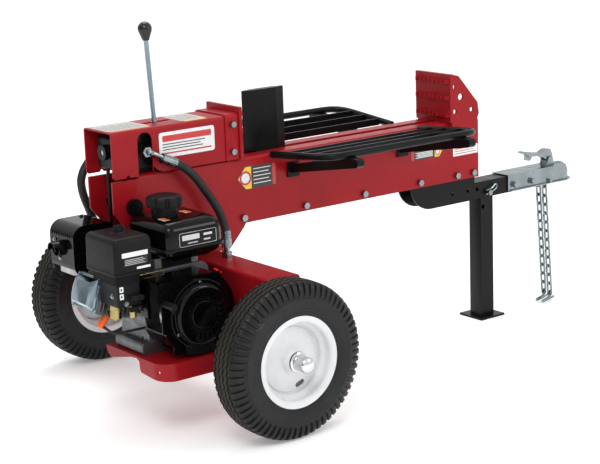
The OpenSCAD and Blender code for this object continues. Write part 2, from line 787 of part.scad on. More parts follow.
module tow_bar() {
    inner = tow_y - 4;
    web = inner - running_gap;
    color(BLACK) placed() {
        for (side = [0, 1]) mirror([0, side, 0]) difference() {
            side_plate(-tow_y - 1, -inner) {
                intersection() {
                    translate([864, beam_z0 - 0.2]) circle(78);
                    translate([780, 370]) square([84 + EPS, beam_z0 - 370.2]);
                }
                translate([864, beam_z0 - 78.2]) square([176, 78]);
            }
            rod_y(-tow_y - 2, -inner + 1, 948, 409, 6);
            rod_y(-tow_y - 2, -inner + 1, 1012, 410, 6);
        }
        for (side = [0, 1]) mirror([0, side, 0]) difference() {
            box([1020, -tow_y, 379], [1292, -inner, tow_top_z]);
            rod_y(-tow_y - 1, -inner + 1, leg_x, leg_pin_z, leg_pin_r + 0.4);
            rod_y(-tow_y - 1, -inner + 1, leg_x - 43.5, leg_pin_z + 16, 6.9);
            rod_y(-tow_y - 1, -inner + 1, 1203, 401.5, 6.5);
            rod_y(-tow_y - 1, -inner + 1, 1278, 401.5, 6.5);
        }
        box([1020, -web, tow_top_z - 4], [1292, web, tow_top_z]);
        box([800, -web, beam_z0 - 4.2], [1018, web, beam_z0 - 0.2]);
    }
}

module jack_leg() {
    half = leg_w / 2;
    wall = 3;
    color(BLACK) placed() difference() {
        union() {
            difference() {
                box([leg_x - half, -half, 5.9], [leg_x + half, half, leg_pin_z + 18]);
                box([leg_x - half + wall, -half + wall, 6],
                    [leg_x + half - wall, half - wall, leg_pin_z + 19]);
            }
            box([leg_x - 49, -49, 0], [leg_x + 49, 49, 6]);
        }
        rod_y(-half - 1, half + 1, leg_x, leg_pin_z, leg_pin_r + running_gap);
        rod_y(-half - 1, half + 1, leg_x - 16, leg_pin_z - 43.5, 6.5);
    }
}

module hitch_pin() {
    z = leg_pin_z;
    clip = [
        [leg_x - 15, -39, z - 4], [leg_x + 16, -39, z + 4], [leg_x + 31, -39, z + 12],
        [leg_x + 28, -39, z + 26], [leg_x + 8, -39, z + 12], [leg_x - 14, -39, z + 9]
    ];
    color(ZINC) placed() {
        rod_y(-44, 44, leg_x, z, leg_pin_r);
        rod_y(31.5, 36, leg_x, z, 12);
        swept_tube(rounded([[leg_x, 40, z], [leg_x, 50, z], [leg_x, 58, z + 14]], 5), 5, 10, [1, 0, 0]);
        swept_tube(rounded(clip, 6), 1.8, 8, [0, 1, 0]);
    }
}

module coupler_body() {
    wall = 3.6;
    inner = coupler_y - wall;
    top = tow_top_z + 0.4;
    color(ZINC) placed() difference() {
        union() {
            for (side = [0, 1]) mirror([0, side, 0]) {
                side_plate(-coupler_y, -inner) polygon([
                    [1177, 383], [ball_x, 383], [ball_x, top + wall], [1177, top + wall]
                ]);
                box([1186, -coupler_y - 8, 382.5], [ball_x, -inner, 386]);
                side_plate(-17, -12.5) polygon([
                    [latch_x - 16, top + wall - EPS], [latch_x + 16, top + wall - EPS],
                    [latch_x + 8, latch_z + 8], [latch_x - 8, latch_z + 8]
                ]);
            }
            box([1177, -coupler_y, top], [ball_x, coupler_y, top + wall]);
            rod_z(382.5, ball_z, ball_x, 0, 30.6);
            rod_z(382.5, 386, ball_x, 0, 39);
            translate([ball_x, 0, ball_z]) sphere(30.6);
        }
        translate([ball_x, 0, ball_z]) sphere(socket_r);
        rod_z(370, ball_z, ball_x, 0, socket_r);
        box([1170, -inner, 370], [ball_x - 24, inner, top]);
        box([1170, -inner, 370], [ball_x - 12, inner, 409]);
        rod_y(-50, 50, 1203, 401.5, 6.5);
        rod_y(-50, 50, 1278, 401.5, 6.5);
        rod_y(-50, 50, chain_x, chain_pin_z, 4.5);
    }
    color(ZINC) placed() rod_y(-17, 17, latch_x, latch_z, 4);
}

module latch_lever() {
    color(ZINC) placed() {
        difference() {
            side_plate(-11, 11) polygon([
                [1263, 487], [1268, 491], [1300, 484], [1345, 477], [1366, 486], [1386, 484], [1393, 470],
                [1396, 458], [1390, 447.5], [1372, 447.5], [1352, 462], [1328, 469], [1306, 470],
                [1298, 459], [1290, 459], [1290, 474]
            ]);
            rod_y(-12, 12, latch_x, latch_z, 4.05);
        }
    }
}

module ball_clamp() {
    color(ZINC) placed() {
        intersection() {
            translate([ball_x, 0, 386]) rotate_extrude() translate([socket_r + 0.1, 0]) square([6, 20]);
            box([ball_x - 34, -22, 380], [ball_x - 18, 22, 420]);
        }
    }
}

// one chain link, standing in the XZ plane round its own middle
module link_shape() {
    half_w = 7.6;
    straight = link_a - half_w;
    route = concat(
        [for (a = [0:30:180]) [half_w * cos(a), 0, straight + half_w * sin(a)]],
        [for (a = [180:30:360]) [half_w * cos(a), 0, -straight + half_w * sin(a)]]
    );
    swept_loop(route, wire_r, 6, [0, 1, 0]);
}

// an open hook of round rod, drawn from the middle of its eye
module hook_shape() {
    rod = [[0, 0, -6], [-5, -1, -13], [-38, -8, -16], [-45, -10, -18.5], [-36, -8, -19], [22, 6, -16]];
    swept_tube(rounded(rod, 4), 3.4, 8, [0, 1, 0]);
    swept_loop([for (a = [0:30:330]) [0, 6.6 * cos(a), 6.6 * sin(a)]], 3.2, 8, [1, 0, 0]);
}

module chain(y) {
    top_z = 4.3 + wire_r - link_a;
    last_z = top_z - (chain_links - 1) * link_pitch;
    translate([chain_x, y, chain_pin_z]) rotate([chain_lean, 0, 0]) {
        for (i = [0:chain_links - 1])
            translate([0, 0, top_z - i * link_pitch]) rotate([0, 0, 90 * (i % 2)]) link_shape();
        translate([0, 0, last_z - link_a + wire_r + 0.3 + 3.2 - 6.6]) hook_shape();
    }
}

module chain_near() { color(ZINC) placed() chain(-chain_y); }

module chain_far() { color(ZINC) placed() chain(chain_y); }

// ---------- engine ----------

module crankcase() {
    color(BLACK) on_engine() difference() {
        union() {
            side_plate(case_y0, case_y1) {
                round_square([-205, 205], [-16, 405], 26);
                translate([crank_x, shaft_z]) circle(100);
            }
            side_plate(case_y0, case_y1) round_square([-226, deck_z + 0.2], [-22, 222], 8);
            rod_y(case_y1 - 1, case_y1 + 8, crank_x, shaft_z, 74);
            for (x = [-170, -60]) box([x, -130, 395], [x + 20, -30, 430.8]);
        }
        rod_y(case_y0 - 1, case_y1 + 9, crank_x, shaft_z, 17.55);
        rod_y(case_y0 + 10, case_y1 - 10, crank_x, shaft_z, 62);
        for (x = engine_bolt_xs, y = engine_bolt_ys) {
            rod_z(deck_z, 223, x, y, 4.6);
            rod_z(222, 232, x, y, 10.5);
        }
    }
}

// turns a shape so that its +X runs along the cylinder, away from the crankshaft
module along_cylinder() {
    translate([crank_x, head_y, shaft_z]) rotate([0, 180 + cylinder_tilt, 0]) children();
}

module cylinder_head() {
    color(ZINC) on_engine() difference() {
        along_cylinder() union() {
            translate([92, -34, -36]) cube([cover_dist - 112, 68, 72]);
            for (d = [100:12:cover_dist - 32])
                translate([d, -48, -50]) cube([4, 96, 100]);
            translate([cover_dist - 24, -52, -44]) cube([10, 104, 88]);
        }
        along_cylinder() translate([90, 0, 0]) rotate([0, 90, 0]) cylinder(h = 100, r = 24);
        box([-205.2, case_y0 - 1, deck_z], [-20, case_y1 + 1, 420]);
        rod_y(case_y0 - 1, case_y1 + 1, crank_x, shaft_z, 100.2);
        translate([-306, -92, 290]) rotate([0, 42.5, 0]) translate([0, 0, -20])
            cylinder(h = 54, r = 10.5);
    }
}

module valve_cover() {
    color(ZINC) on_engine() along_cylinder() {
        translate([cover_dist - 13.9, -52, -44]) cube([3, 104, 88]);
        hull() {
            translate([cover_dist - 12, -46, -38]) cube([6, 92, 76]);
            translate([cover_dist + 6, -36, -28]) cube([4, 72, 56]);
        }
        for (y = [-47, 47], z = [-39, 39])
            translate([cover_dist - 12, y, z]) rotate([0, 90, 0]) cylinder(h = 6, r = 5, $fn = 6);
    }
}

module shroud_outline(r) {
    translate([crank_x, shaft_z]) circle(r);
    translate([-226, 268]) square([110, 140]);
    translate([-196, 210]) square([80, 70]);
}

// the switch's seat on the shroud's shoulder, with +Z pointing outwards
module on_shoulder() {
    translate([crank_x, shroud_y + 14, shaft_z]) rotate([0, 37, 0])
        translate([0, 0, shroud_r - 4]) children();
}

module fan_shroud() {
    color(BLACK) on_engine() {
        difference() {
            union() {
                side_plate(shroud_y, case_y0 - 1) difference() {
                    shroud_outline(shroud_r);
                    translate([-240, 400]) square([240, 40]);
                }
                side_plate(-190, case_y0 - 0.3) round_square([-236, 300], [-160, 399.5], 8);
            }
            side_plate(shroud_y + 3, case_y0) difference() {
                shroud_outline(shroud_r - 3);
                translate([-240, 397]) square([240, 40]);
            }
            side_plate(-188, case_y0) round_square([-233, 303], [-157, 396.5], 6);
            rod_y(shroud_y - 1, shroud_y + 4, crank_x, shaft_z, 66);
        }
        on_shoulder() {
            box([-13, -6, 0], [13, 8, 9]);
            for (y = [-8, 7.4]) box([-4, y, 0], [4, y + 2.6, 14]);
            rod_y(-7, 9, 0, 12.5, 1.5);
        }
    }
}

module recoil_cover() {
    color(BLACK) on_engine() difference() {
        union() {
            rod_y(recoil_y, shroud_y - 0.3, crank_x, shaft_z, 76);
            rod_y(shroud_y - 8, shroud_y - 0.3, crank_x, shaft_z, 88);
            box([-212, -256, 306], [-180, shroud_y - 0.3, 334]);
        }
        rod_y(recoil_y + 4, shroud_y + 1, crank_x, shaft_z, 71);
        for (a = [0:30:330])
            translate([crank_x, 0, shaft_z]) rotate([0, a, 0])
                box([48, recoil_y - 1, -4], [64, recoil_y + 5, 4]);
        translate([-196, -248, 320]) rotate([0, -40, 0]) translate([0, 0, -60]) cylinder(h = 90, r = 3.4);
    }
}

module starter_grip() {
    color(BLACK) on_engine() translate([-196, -248, 320]) rotate([0, -40, 0]) {
        translate([0, 0, -34]) cylinder(h = 60, r = 2.6);
        translate([0, 0, 24]) difference() {
            rotate([90, 0, 0]) translate([0, 0, -7]) linear_extrude(44) round_square([-8, 0], [8, 16], 6);
            translate([0, 0, -1]) cylinder(h = 4, r = 2.6);
        }
    }
}

module fuel_tank() {
    lo = [-180, -207];
    hi = [-8, -16];
    color(BLACK) on_engine() difference() {
        union() {
            hull() {
                translate([0, 0, 466]) linear_extrude(46) round_square(lo, hi, 22);
                translate([0, 0, 524]) linear_extrude(9) round_square(lo + [14, 14], hi - [14, 14], 20);
            }
            translate([0, 0, 458]) linear_extrude(8.1) round_square(lo - [5, 5], hi + [5, 5], 24);
            hull() {
                translate([0, 0, 452]) linear_extrude(6.1) round_square(lo, hi, 22);
                translate([0, 0, 431]) linear_extrude(4) round_square(lo + [24, 24], hi - [24, 24], 16);
            }
            rod_z(525, 552, -121, -112, 30);
        }
        rod_z(470, 553, -121, -112, 26);
    }
}

module fuel_cap() {
    color(BLACK) on_engine() translate([-121, -112, 0]) {
        translate([0, 0, 535]) difference() {
            cylinder(h = 24, r = 33.5);
            translate([0, 0, -1]) cylinder(h = 18.5, r = 30.5);
        }
        translate([0, 0, 558.9]) difference() {
            cylinder(h = 27, r = 46.5);
            for (a = [0:45:315])
                rotate([0, 0, a + 22.5]) translate([54, 0, -1]) cylinder(h = 29, r = 11.5);
        }
    }
}

module air_cleaner() {
    color(BLACK) on_engine() {
        difference() {
            union() {
                box([-322, -196, 345], [-256, -84, 428]);
                for (z = [401:4:421]) box([-324, -198, z], [-254, -82, z + 2]);
            }
            box([-300, -150, 340], [-270, -110, 429]);
            along_cylinder() translate([90, -48.3, -50.3]) cube([cover_dist - 110, 96.6, 100.6]);
            along_cylinder() translate([cover_dist - 24.3, -52.3, -44.3]) cube([40, 104.6, 88.6]);
        }
        box([-328, -202, 424], [-220, -58, 431.5]);
        for (x = [-312, -262]) rod_y(-202, -195, x, x < -300 ? 362 : 352, 6);
        rod_y(-211, -195, -262, 366, 2);
    }
}

module air_cleaner_cover() {
    color("#303032") on_engine() {
        hull() {
            translate([0, 0, 432]) linear_extrude(77) round_square([-328, -203], [-218, -57], 10);
            translate([0, 0, 517]) linear_extrude(4) round_square([-319, -194], [-227, -66], 8);
        }
        rod_z(520, 524, -270, -130, 16);
        rod_z(523, 534, -270, -130, 6);
        box([-284, -134, 528], [-256, -126, 538]);
    }
}

module carburettor() {
    color(ZINC) on_engine() {
        rod_z(326, 344.8, -290, -128, 18);
        rod_z(302, 326, -290, -128, 15);
        rod_z(296, 302, -290, -128, 6);
        box([-299, -149, 344.7], [-271, -111, 372]);
        rod_x(-253.8, -158, -152, 405, 1.6);
        rod_z(400.2, 406, -160, -152, 2.2);
        rod_z(308, 330, -266, -170, 9);
        box([-274, -178, 329], [-258, -150, 344.8]);
        rod_y(-198, -177, -262, 335, 2);
    }
}

module muffler() {
    color(STEEL) on_engine() {
        translate([-255, 69, 384]) linear_extrude(118) round_square([-54, -48], [54, 48], 20);
        rod_x(-322, -300, 80, 450, 13);
        difference() {
            swept_tube([[-236, 32, 402], [-206, 12, 393], [-190, -10.6, 386]], 14, 12, [0, 0, 1]);
            box([-220, -40, 360], [-160, case_y1 + 0.2, 420]);
        }
    }
}

module muffler_guard() {
    lo = [-320, 380];
    hi = [-190, 515];
    color(BLACK) on_engine() {
        difference() {
            side_plate(10, 128) round_square(lo, hi, 34);
            side_plate(12, 126) round_square(lo + [2, -40], hi - [2, 2], 32);
            side_plate(0, 140) translate([-330, 370]) square([150, 22]);
            for (row = [0, 1], i = [0:8])
                translate([-330, 24 + 11 * i, 484 - 15 * row]) cube([40, 5, 8]);
            rod_x(-330, -300, 80, 450, 16);
            box([-232, 5, 370], [-180, 20, 409]);
        }
        difference() {
            rod_x(guard_tip_x, -319.9, 80, 450, 20);
            rod_x(guard_tip_x - 1, -318, 80, 450, 17.5);
            translate([guard_tip_x - 1, 55, 425]) cube([14, 50, 22]);
        }
    }
}

module spark_plug() {
    boot = [[-284, -92, 314], [-306, -92, 290], [-317, -92, 275]];
    lead = [[-313, -94, 280], [-300, -130, 262], [-209, -134, 262]];
    color("orangered") on_engine() {
        swept_tube(rounded(boot, 9), 9.5, 12, [0, 1, 0]);
        swept_tube(rounded(lead, 16), 3.5, 8, [0, 0, 1]);
    }
}

module crankshaft() {
    color(STEEL) on_engine() {
        rod_y(-232, 84, crank_x, shaft_z, 17.5);
        rod_y(-228, -190, crank_x, shaft_z, 86);
        for (a = [0:30:330])
            translate([crank_x, 0, shaft_z]) rotate([0, a, 0]) box([40, -235, -2], [84, -227, 2]);
        rod_y(84, 100, crank_x, shaft_z, 24);
    }
}

module bell_housing() {
    color(BLACK) on_engine() difference() {
        union() {
            rod_y(case_y1 + 8.1, 106, crank_x, shaft_z, 62);
            rod_y(case_y1 + 8.1, 8, crank_x, shaft_z, 78);
            rod_y(100, 112, crank_x, shaft_z, 66);
        }
        rod_y(case_y1 + 7, 104, crank_x, shaft_z, 50);
        rod_y(100, 113, crank_x, shaft_z, 28.1);
        side_plate(20, 90) translate([crank_x - 30, shaft_z + 40]) square([60, 40]);
    }
}

module hydraulic_pump() {
    color(ZINC) on_engine() {
        side_plate(112.1, 200) round_square([crank_x - 42, shaft_z - 46], [crank_x + 42, shaft_z + 42], 14);
        rod_y(104.2, 112.2, crank_x, shaft_z, 28);
        side_plate(196, 206) round_square([crank_x - 34, shaft_z - 36], [crank_x + 34, shaft_z + 34], 10);
    }
}

module choke_lever() {
    color(BLACK) on_engine() difference() {
        union() {
            rod_y(-210, -203.5, -262, 366, 7);
            side_plate(-208, -205) round_square([-292, 361], [-262, 373], 5);
        }
        rod_y(-211, -202, -262, 366, 2.05);
    }
}

module fuel_lever() {
    color(BLACK) on_engine() difference() {
        union() {
            rod_y(-196, -186, -262, 335, 8);
            side_plate(-196, -191) round_square([-290, 329], [-262, 341], 5);
        }
        rod_y(-197, -185, -262, 335, 2.05);
    }
}

module engine_switch() {
    color("red") on_engine() on_shoulder() difference() {
        box([-9, -5, 10.6], [9, 7, 15.6]);
        rod_y(-6, 8, 0, 12.5, 1.56);
    }
}

beam_near();
beam_far();
frame_bolts();
fixed_plate();
rear_plate();
valve_housing();
pedestal();
oil_tank();
tank_breather();
axle();
engine_tray();
tow_bar();
coupler_body();
cylinder_barrel();
cylinder_gland();
cylinder_pin();
valve_body();
hydraulic_fittings();
return_hose();
pressure_hose();
suction_hose();
cradle_near();
cradle_far();
wedge();
piston_rod();
lever_rod();
lever_knob();
valve_spool();
tyre_near();
rim_near();
hub_near();
tyre_far();
rim_far();
hub_far();
jack_leg();
hitch_pin();
latch_lever();
ball_clamp();
chain_near();
chain_far();
crankcase();
cylinder_head();
valve_cover();
fan_shroud();
recoil_cover();
starter_grip();
fuel_tank();
fuel_cap();
air_cleaner();
air_cleaner_cover();
carburettor();
muffler();
muffler_guard();
crankshaft();
hydraulic_pump();
bell_housing();
spark_plug();
choke_lever();
fuel_lever();
engine_switch();
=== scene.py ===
"""The looks of a towable log splitter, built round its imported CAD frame.

Lengths are metres in the frame's own axes. Points given in millimetres are measured from the axle,
and at() turns them into the frame.
"""

import math

import bmesh
import bpy
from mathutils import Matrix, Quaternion, Vector


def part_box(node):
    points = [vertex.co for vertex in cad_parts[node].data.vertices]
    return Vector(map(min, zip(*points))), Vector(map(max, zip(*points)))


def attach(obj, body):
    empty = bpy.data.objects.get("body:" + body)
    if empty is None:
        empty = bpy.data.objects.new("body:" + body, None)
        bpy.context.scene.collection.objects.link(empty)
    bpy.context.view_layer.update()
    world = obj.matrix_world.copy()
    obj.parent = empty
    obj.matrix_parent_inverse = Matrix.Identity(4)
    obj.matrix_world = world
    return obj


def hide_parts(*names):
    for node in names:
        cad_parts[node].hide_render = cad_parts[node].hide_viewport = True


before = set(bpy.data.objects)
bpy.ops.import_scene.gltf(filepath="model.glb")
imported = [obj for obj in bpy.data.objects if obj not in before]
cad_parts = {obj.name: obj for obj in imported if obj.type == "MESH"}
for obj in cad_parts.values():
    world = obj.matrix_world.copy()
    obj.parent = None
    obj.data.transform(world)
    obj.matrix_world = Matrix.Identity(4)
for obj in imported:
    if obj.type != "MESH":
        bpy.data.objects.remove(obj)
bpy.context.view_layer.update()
MM = 0.001
ROOT = "machine"


def centre(node):
    low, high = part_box(node)
    return (low + high) / 2


AXLE_X = centre("tyre_near").x


def at(x, y, z):
    """A point in millimetres from the axle, in the frame."""
    return Vector((AXLE_X + x * MM, y * MM, z * MM))


# ---------------------------------------------------------------- materials

def srgb(r, g, b):
    """Linear colour from screen values of 0 to 255."""
    def one(v):
        v = v / 255
        return v / 12.92 if v <= 0.04045 else ((v + 0.055) / 1.055) ** 2.4
    return (one(r), one(g), one(b), 1)


class Surface:
    """A material under construction: a Principled shader and helpers for its nodes."""

    def __init__(self, name, rough, metal=0.0, coat=0.0, specular=0.5):
        self.mat = bpy.data.materials.new(name)
        self.mat.use_nodes = True
        self.tree = self.mat.node_tree
        self.bsdf = self.tree.nodes["Principled BSDF"]
        self.bsdf.inputs["Roughness"].default_value = rough
        self.bsdf.inputs["Metallic"].default_value = metal
        self.bsdf.inputs["Coat Weight"].default_value = coat
        self.bsdf.inputs["Coat Roughness"].default_value = 0.08
        self.bsdf.inputs["Specular IOR Level"].default_value = specular
        self.coords = self.tree.nodes.new("ShaderNodeTexCoord").outputs["Object"]

    def link(self, a, b):
        self.tree.links.new(a, b)

    def stretched(self, scale):
        """Object coordinates scaled differently along each axis."""
        node = self.tree.nodes.new("ShaderNodeMapping")
        node.inputs["Scale"].default_value = scale
        self.link(self.coords, node.inputs["Vector"])
        return node.outputs["Vector"]

    def noise(self, scale, detail=4.0, vector=None):
        node = self.tree.nodes.new("ShaderNodeTexNoise")
        node.inputs["Scale"].default_value = scale
        node.inputs["Detail"].default_value = detail
        node.inputs["Roughness"].default_value = 0.55
        self.link(vector or self.coords, node.inputs["Vector"])
        return node.outputs["Fac"]

    def cells(self, scale):
        node = self.tree.nodes.new("ShaderNodeTexVoronoi")
        node.inputs["Scale"].default_value = scale
        self.link(self.coords, node.inputs["Vector"])
        return node.outputs["Distance"]

    def wave(self, scale, direction):
        node = self.tree.nodes.new("ShaderNodeTexWave")
        node.bands_direction = direction
        node.inputs["Scale"].default_value = scale
        self.link(self.coords, node.inputs["Vector"])
        return node.outputs["Fac"]

    def ramp(self, fac, low, high, to_low=0.0, to_high=1.0):
        node = self.tree.nodes.new("ShaderNodeMapRange")
        node.inputs["From Min"].default_value = low
        node.inputs["From Max"].default_value = high
        node.inputs["To Min"].default_value = to_low
        node.inputs["To Max"].default_value = to_high
        self.link(fac, node.inputs["Value"])
        return node.outputs["Result"]

    def mix(self, fac, a, b):
        """Colour a where fac is 0 and colour b where it is 1; either may be a socket."""
        node = self.tree.nodes.new("ShaderNodeMix")
        node.data_type = "RGBA"
        self.link(fac, node.inputs["Factor"])
        for value, socket in ((a, node.inputs[6]), (b, node.inputs[7])):
            if isinstance(value, tuple):
                socket.default_value = value
            else:
                self.link(value, socket)
        return node.outputs[2]

    def colour(self, value):
        self.link(value, self.bsdf.inputs["Base Color"])

    def rough(self, value):
        self.link(value, self.bsdf.inputs["Roughness"])

    def bump(self, *layers):
        """Each layer is (height, strength, depth in metres)."""
        normal = None
        for height, strength, depth in layers:
            node = self.tree.nodes.new("ShaderNodeBump")
            node.inputs["Strength"].default_value = strength
            node.inputs["Distance"].default_value = depth
            self.link(height, node.inputs["Height"])
            if normal is not None:
                self.link(normal, node.inputs["Normal"])
            normal = node.outputs["Normal"]
        self.link(normal, self.bsdf.inputs["Normal"])


def shade(colour, k):
    return (min(1, colour[0] * k), min(1, colour[1] * k), min(1, colour[2] * k), 1)


def paint(name, colour, rough, coat, peel=0.10, scuffs=0.15, specular=0.4):
    """Sprayed or powder-coated steel: slow tone changes, orange peel and a few faint scuffs."""
    s = Surface(name, rough, coat=coat, specular=specular)
    tone = s.mix(s.ramp(s.noise(5.0), 0.3, 0.7), shade(colour, 0.86), shade(colour, 1.12))
    streaks = s.noise(60.0, detail=6.0, vector=s.stretched((1.0, 1.0, 4.0)))
    worn = s.ramp(streaks, 0.66, 0.74, 0.0, scuffs)
    s.colour(s.mix(worn, tone, shade(colour, 1.7)))
    s.rough(s.ramp(s.noise(35.0), 0.3, 0.7, rough - 0.05, rough + 0.07))
    s.bump((s.noise(420.0, detail=2.0), peel, 0.0004), (s.noise(9.0), 0.06, 0.002))
    return s.mat


def metal(name, colour, rough, grain=0.15, spangle=0.0, stain=0.25):
    """Plated, machined or cast metal: fine grain, blotches and duller patches."""
    s = Surface(name, rough, metal=1.0)
    tone = s.mix(s.ramp(s.noise(22.0), 0.35, 0.65), shade(colour, 1 - stain), shade(colour, 1.1))
    if spangle:
        tone = s.mix(s.ramp(s.cells(160.0), 0.0, 0.8, 0.0, spangle), tone, shade(colour, 0.6))
    s.colour(tone)
    s.rough(s.ramp(s.noise(70.0, detail=6.0), 0.3, 0.7, max(0.05, rough - 0.1), rough + 0.12))
    s.bump((s.noise(600.0, detail=3.0), grain, 0.0004))
    return s.mat


def moulded(name, colour, rough, grain=0.25, coat=0.0, specular=0.3):
    """Moulded plastic or rubber with a fine pebbled grain."""
    s = Surface(name, rough, coat=coat, specular=specular)
    s.colour(s.mix(s.ramp(s.noise(14.0), 0.3, 0.7), shade(colour, 0.8), shade(colour, 1.25)))
    s.rough(s.ramp(s.noise(90.0), 0.3, 0.7, rough - 0.06, rough + 0.08))
    s.bump((s.cells(900.0), grain, 0.0003), (s.noise(60.0), 0.08, 0.0005))
    return s.mat


def tyre_surface(name, black, rough):
    s = Surface(name, rough, specular=0.3)
    dusty = shade(black, 2.4)
    tone = s.mix(s.ramp(s.noise(30.0), 0.3, 0.7), shade(black, 0.75), shade(black, 1.3))
    s.colour(s.mix(s.ramp(s.noise(11.0, detail=8.0), 0.52, 0.78, 0.0, 0.35), tone, dusty))
    s.rough(s.ramp(s.noise(40.0), 0.3, 0.7, rough - 0.08, rough + 0.12))
    s.bump((s.noise(500.0, detail=3.0), 0.25, 0.0005), (s.noise(45.0), 0.10, 0.001))
    return s.mat


def hose_surface():
    s = Surface("hose_rubber", 0.5, specular=0.3)
    black = srgb(32, 32, 33)
    s.colour(s.mix(s.ramp(s.noise(25.0), 0.3, 0.7), shade(black, 0.8), shade(black, 1.4)))
    s.rough(s.ramp(s.noise(60.0), 0.3, 0.7, 0.42, 0.6))
    s.bump((s.wave(260.0, "Z"), 0.12, 0.0004), (s.noise(400.0), 0.15, 0.0003))
    return s.mat


def print_surface(name, colour):
    """A printed sticker's film: almost flat, with a little ink mottle and a satin lacquer."""
    s = Surface(name, 0.4, coat=0.3)
    s.colour(s.mix(s.ramp(s.noise(120.0), 0.3, 0.7), shade(colour, 0.93), shade(colour, 1.04)))
    s.rough(s.ramp(s.noise(80.0), 0.3, 0.7, 0.35, 0.48))
    s.bump((s.noise(300.0), 0.05, 0.0002))
    return s.mat


MATERIALS = {
    "red_paint": paint("red_paint", srgb(146, 18, 26), 0.34, 0.05, specular=0.16),
    "black_paint": paint("black_paint", srgb(12, 12, 13), 0.3, 0.0, peel=0.14, scuffs=0.25,
                         specular=0.16),
    "rim_paint": paint("rim_paint", srgb(214, 215, 217), 0.24, 0.1, peel=0.04, scuffs=0.05,
                       specular=0.3),
    "engine_black": paint("engine_black", srgb(6, 6, 7), 0.09, 0.05, peel=0.03, scuffs=0.05,
                          specular=0.18),
    "zinc_plate": metal("zinc_plate", srgb(140, 149, 152), 0.24, grain=0.06, spangle=0.08,
                        stain=0.14),
    "zinc_bright": metal("zinc_bright", srgb(138, 154, 164), 0.16, grain=0.02, stain=0.1),
    "machined_steel": metal("machined_steel", srgb(176, 176, 178), 0.3),
    "chrome_plate": metal("chrome_plate", srgb(214, 214, 214), 0.07, grain=0.02, stain=0.06),
    "cast_alloy": metal("cast_alloy", srgb(118, 120, 122), 0.5, grain=0.6),
    "tyre_rubber": tyre_surface("tyre_rubber", srgb(15, 16, 17), 0.4),
    "tread_rubber": tyre_surface("tread_rubber", srgb(33, 31, 26), 0.7),
    "hose_rubber": hose_surface(),
    "black_plastic": moulded("black_plastic", srgb(22, 22, 23), 0.4, specular=0.13),
    "knob_plastic": moulded("knob_plastic", srgb(20, 20, 21), 0.16, grain=0.03, coat=0.3),
    "plug_rubber": moulded("plug_rubber", srgb(226, 96, 28), 0.5),
    "switch_red": moulded("switch_red", srgb(226, 34, 28), 0.28, grain=0.04, coat=0.4),
    "yellow_zinc": metal("yellow_zinc", srgb(170, 156, 104), 0.26, grain=0.05, spangle=0.3),
    "label_white": print_surface("label_white", srgb(222, 224, 224)),
    "label_grey": print_surface("label_grey", srgb(190, 186, 180)),
    "label_black": print_surface("label_black", srgb(26, 26, 28)),
    "label_yellow": print_surface("label_yellow", srgb(236, 190, 36)),
    "label_red": print_surface("label_red", srgb(190, 34, 36)),
    "label_silver": metal("label_silver", srgb(200, 202, 204), 0.35, grain=0.05, stain=0.08),
    "label_orange": print_surface("label_orange", srgb(232, 120, 30)),
    # painted shade: a near-black, almost unreflecting finish for the hollow behind the recoil's slots
    "void_painted_shade": moulded("void_painted_shade", srgb(12, 12, 12), 0.8, specular=0.05),
}


# ---------------------------------------------------------------- pieces

def finish_piece(obj, body, slot_name, nodes=(), material=None):
    """Paints a piece with the given finish or its slot's, parents it to its body and hides the CAD nodes
    that it stands for.
    """
    if not obj.data.materials:
        obj.data.materials.append(MATERIALS[material or slot_name])
    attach(obj, body)
    if nodes:
        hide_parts(*nodes)
    return obj


def mesh_object(name, verts, faces, sharp=35):
    mesh = bpy.data.meshes.new(name)
    mesh.from_pydata([tuple(v) for v in verts], [], faces)
    mesh.update()
    bm = bmesh.new()
    bm.from_mesh(mesh)
    bmesh.ops.recalc_face_normals(bm, faces=bm.faces)
    bm.to_mesh(mesh)
    bm.free()
    obj = bpy.data.objects.new(name, mesh)
    bpy.context.scene.collection.objects.link(obj)
    smooth(obj, sharp)
    return obj


def smooth(obj, sharp=35):
    mesh = obj.data
    mesh.polygons.foreach_set("use_smooth", [True] * len(mesh.polygons))
    mesh.set_sharp_from_angle(angle=math.radians(sharp))


def bevel(obj, width):
    mod = obj.modifiers.new("edge", "BEVEL")
    mod.width = width
    mod.segments = 2
    mod.limit_method = "ANGLE"
    mod.angle_limit = math.radians(32)
    mod.harden_normals = True
    mod.use_clamp_overlap = True
    return obj


def bake(obj):
    """Applies an object's modifiers to its mesh."""
    graph = bpy.context.evaluated_depsgraph_get()
    mesh = bpy.data.meshes.new_from_object(obj.evaluated_get(graph))
    obj.modifiers.clear()
    obj.data = mesh
    return obj


def softened(node, body, slot_name, width, material=None, swell=0.0):
    """A piece with the shape of a CAD node, its flats rebuilt as single faces and its edges rounded
    by width. swell moves its skin out. Both are in millimetres."""
    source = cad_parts[node].data
    bm = bmesh.new()
    bm.from_mesh(source)
    bmesh.ops.remove_doubles(bm, verts=bm.verts, dist=2e-6)
    bmesh.ops.dissolve_limit(bm, angle_limit=math.radians(0.6), verts=bm.verts, edges=bm.edges)
    bm.normal_update()
    if swell:
        normals = [v.normal.copy() for v in bm.verts]
        for vert, normal in zip(bm.verts, normals):
            vert.co += normal * swell * MM
    mesh = bpy.data.meshes.new(node + "_shape")
    bm.to_mesh(mesh)
    bm.free()
    obj = bpy.data.objects.new(node + "_piece", mesh)
    bpy.context.scene.collection.objects.link(obj)
    smooth(obj)
    bevel(obj, width * MM)
    return finish_piece(obj, body, slot_name, [node], material)


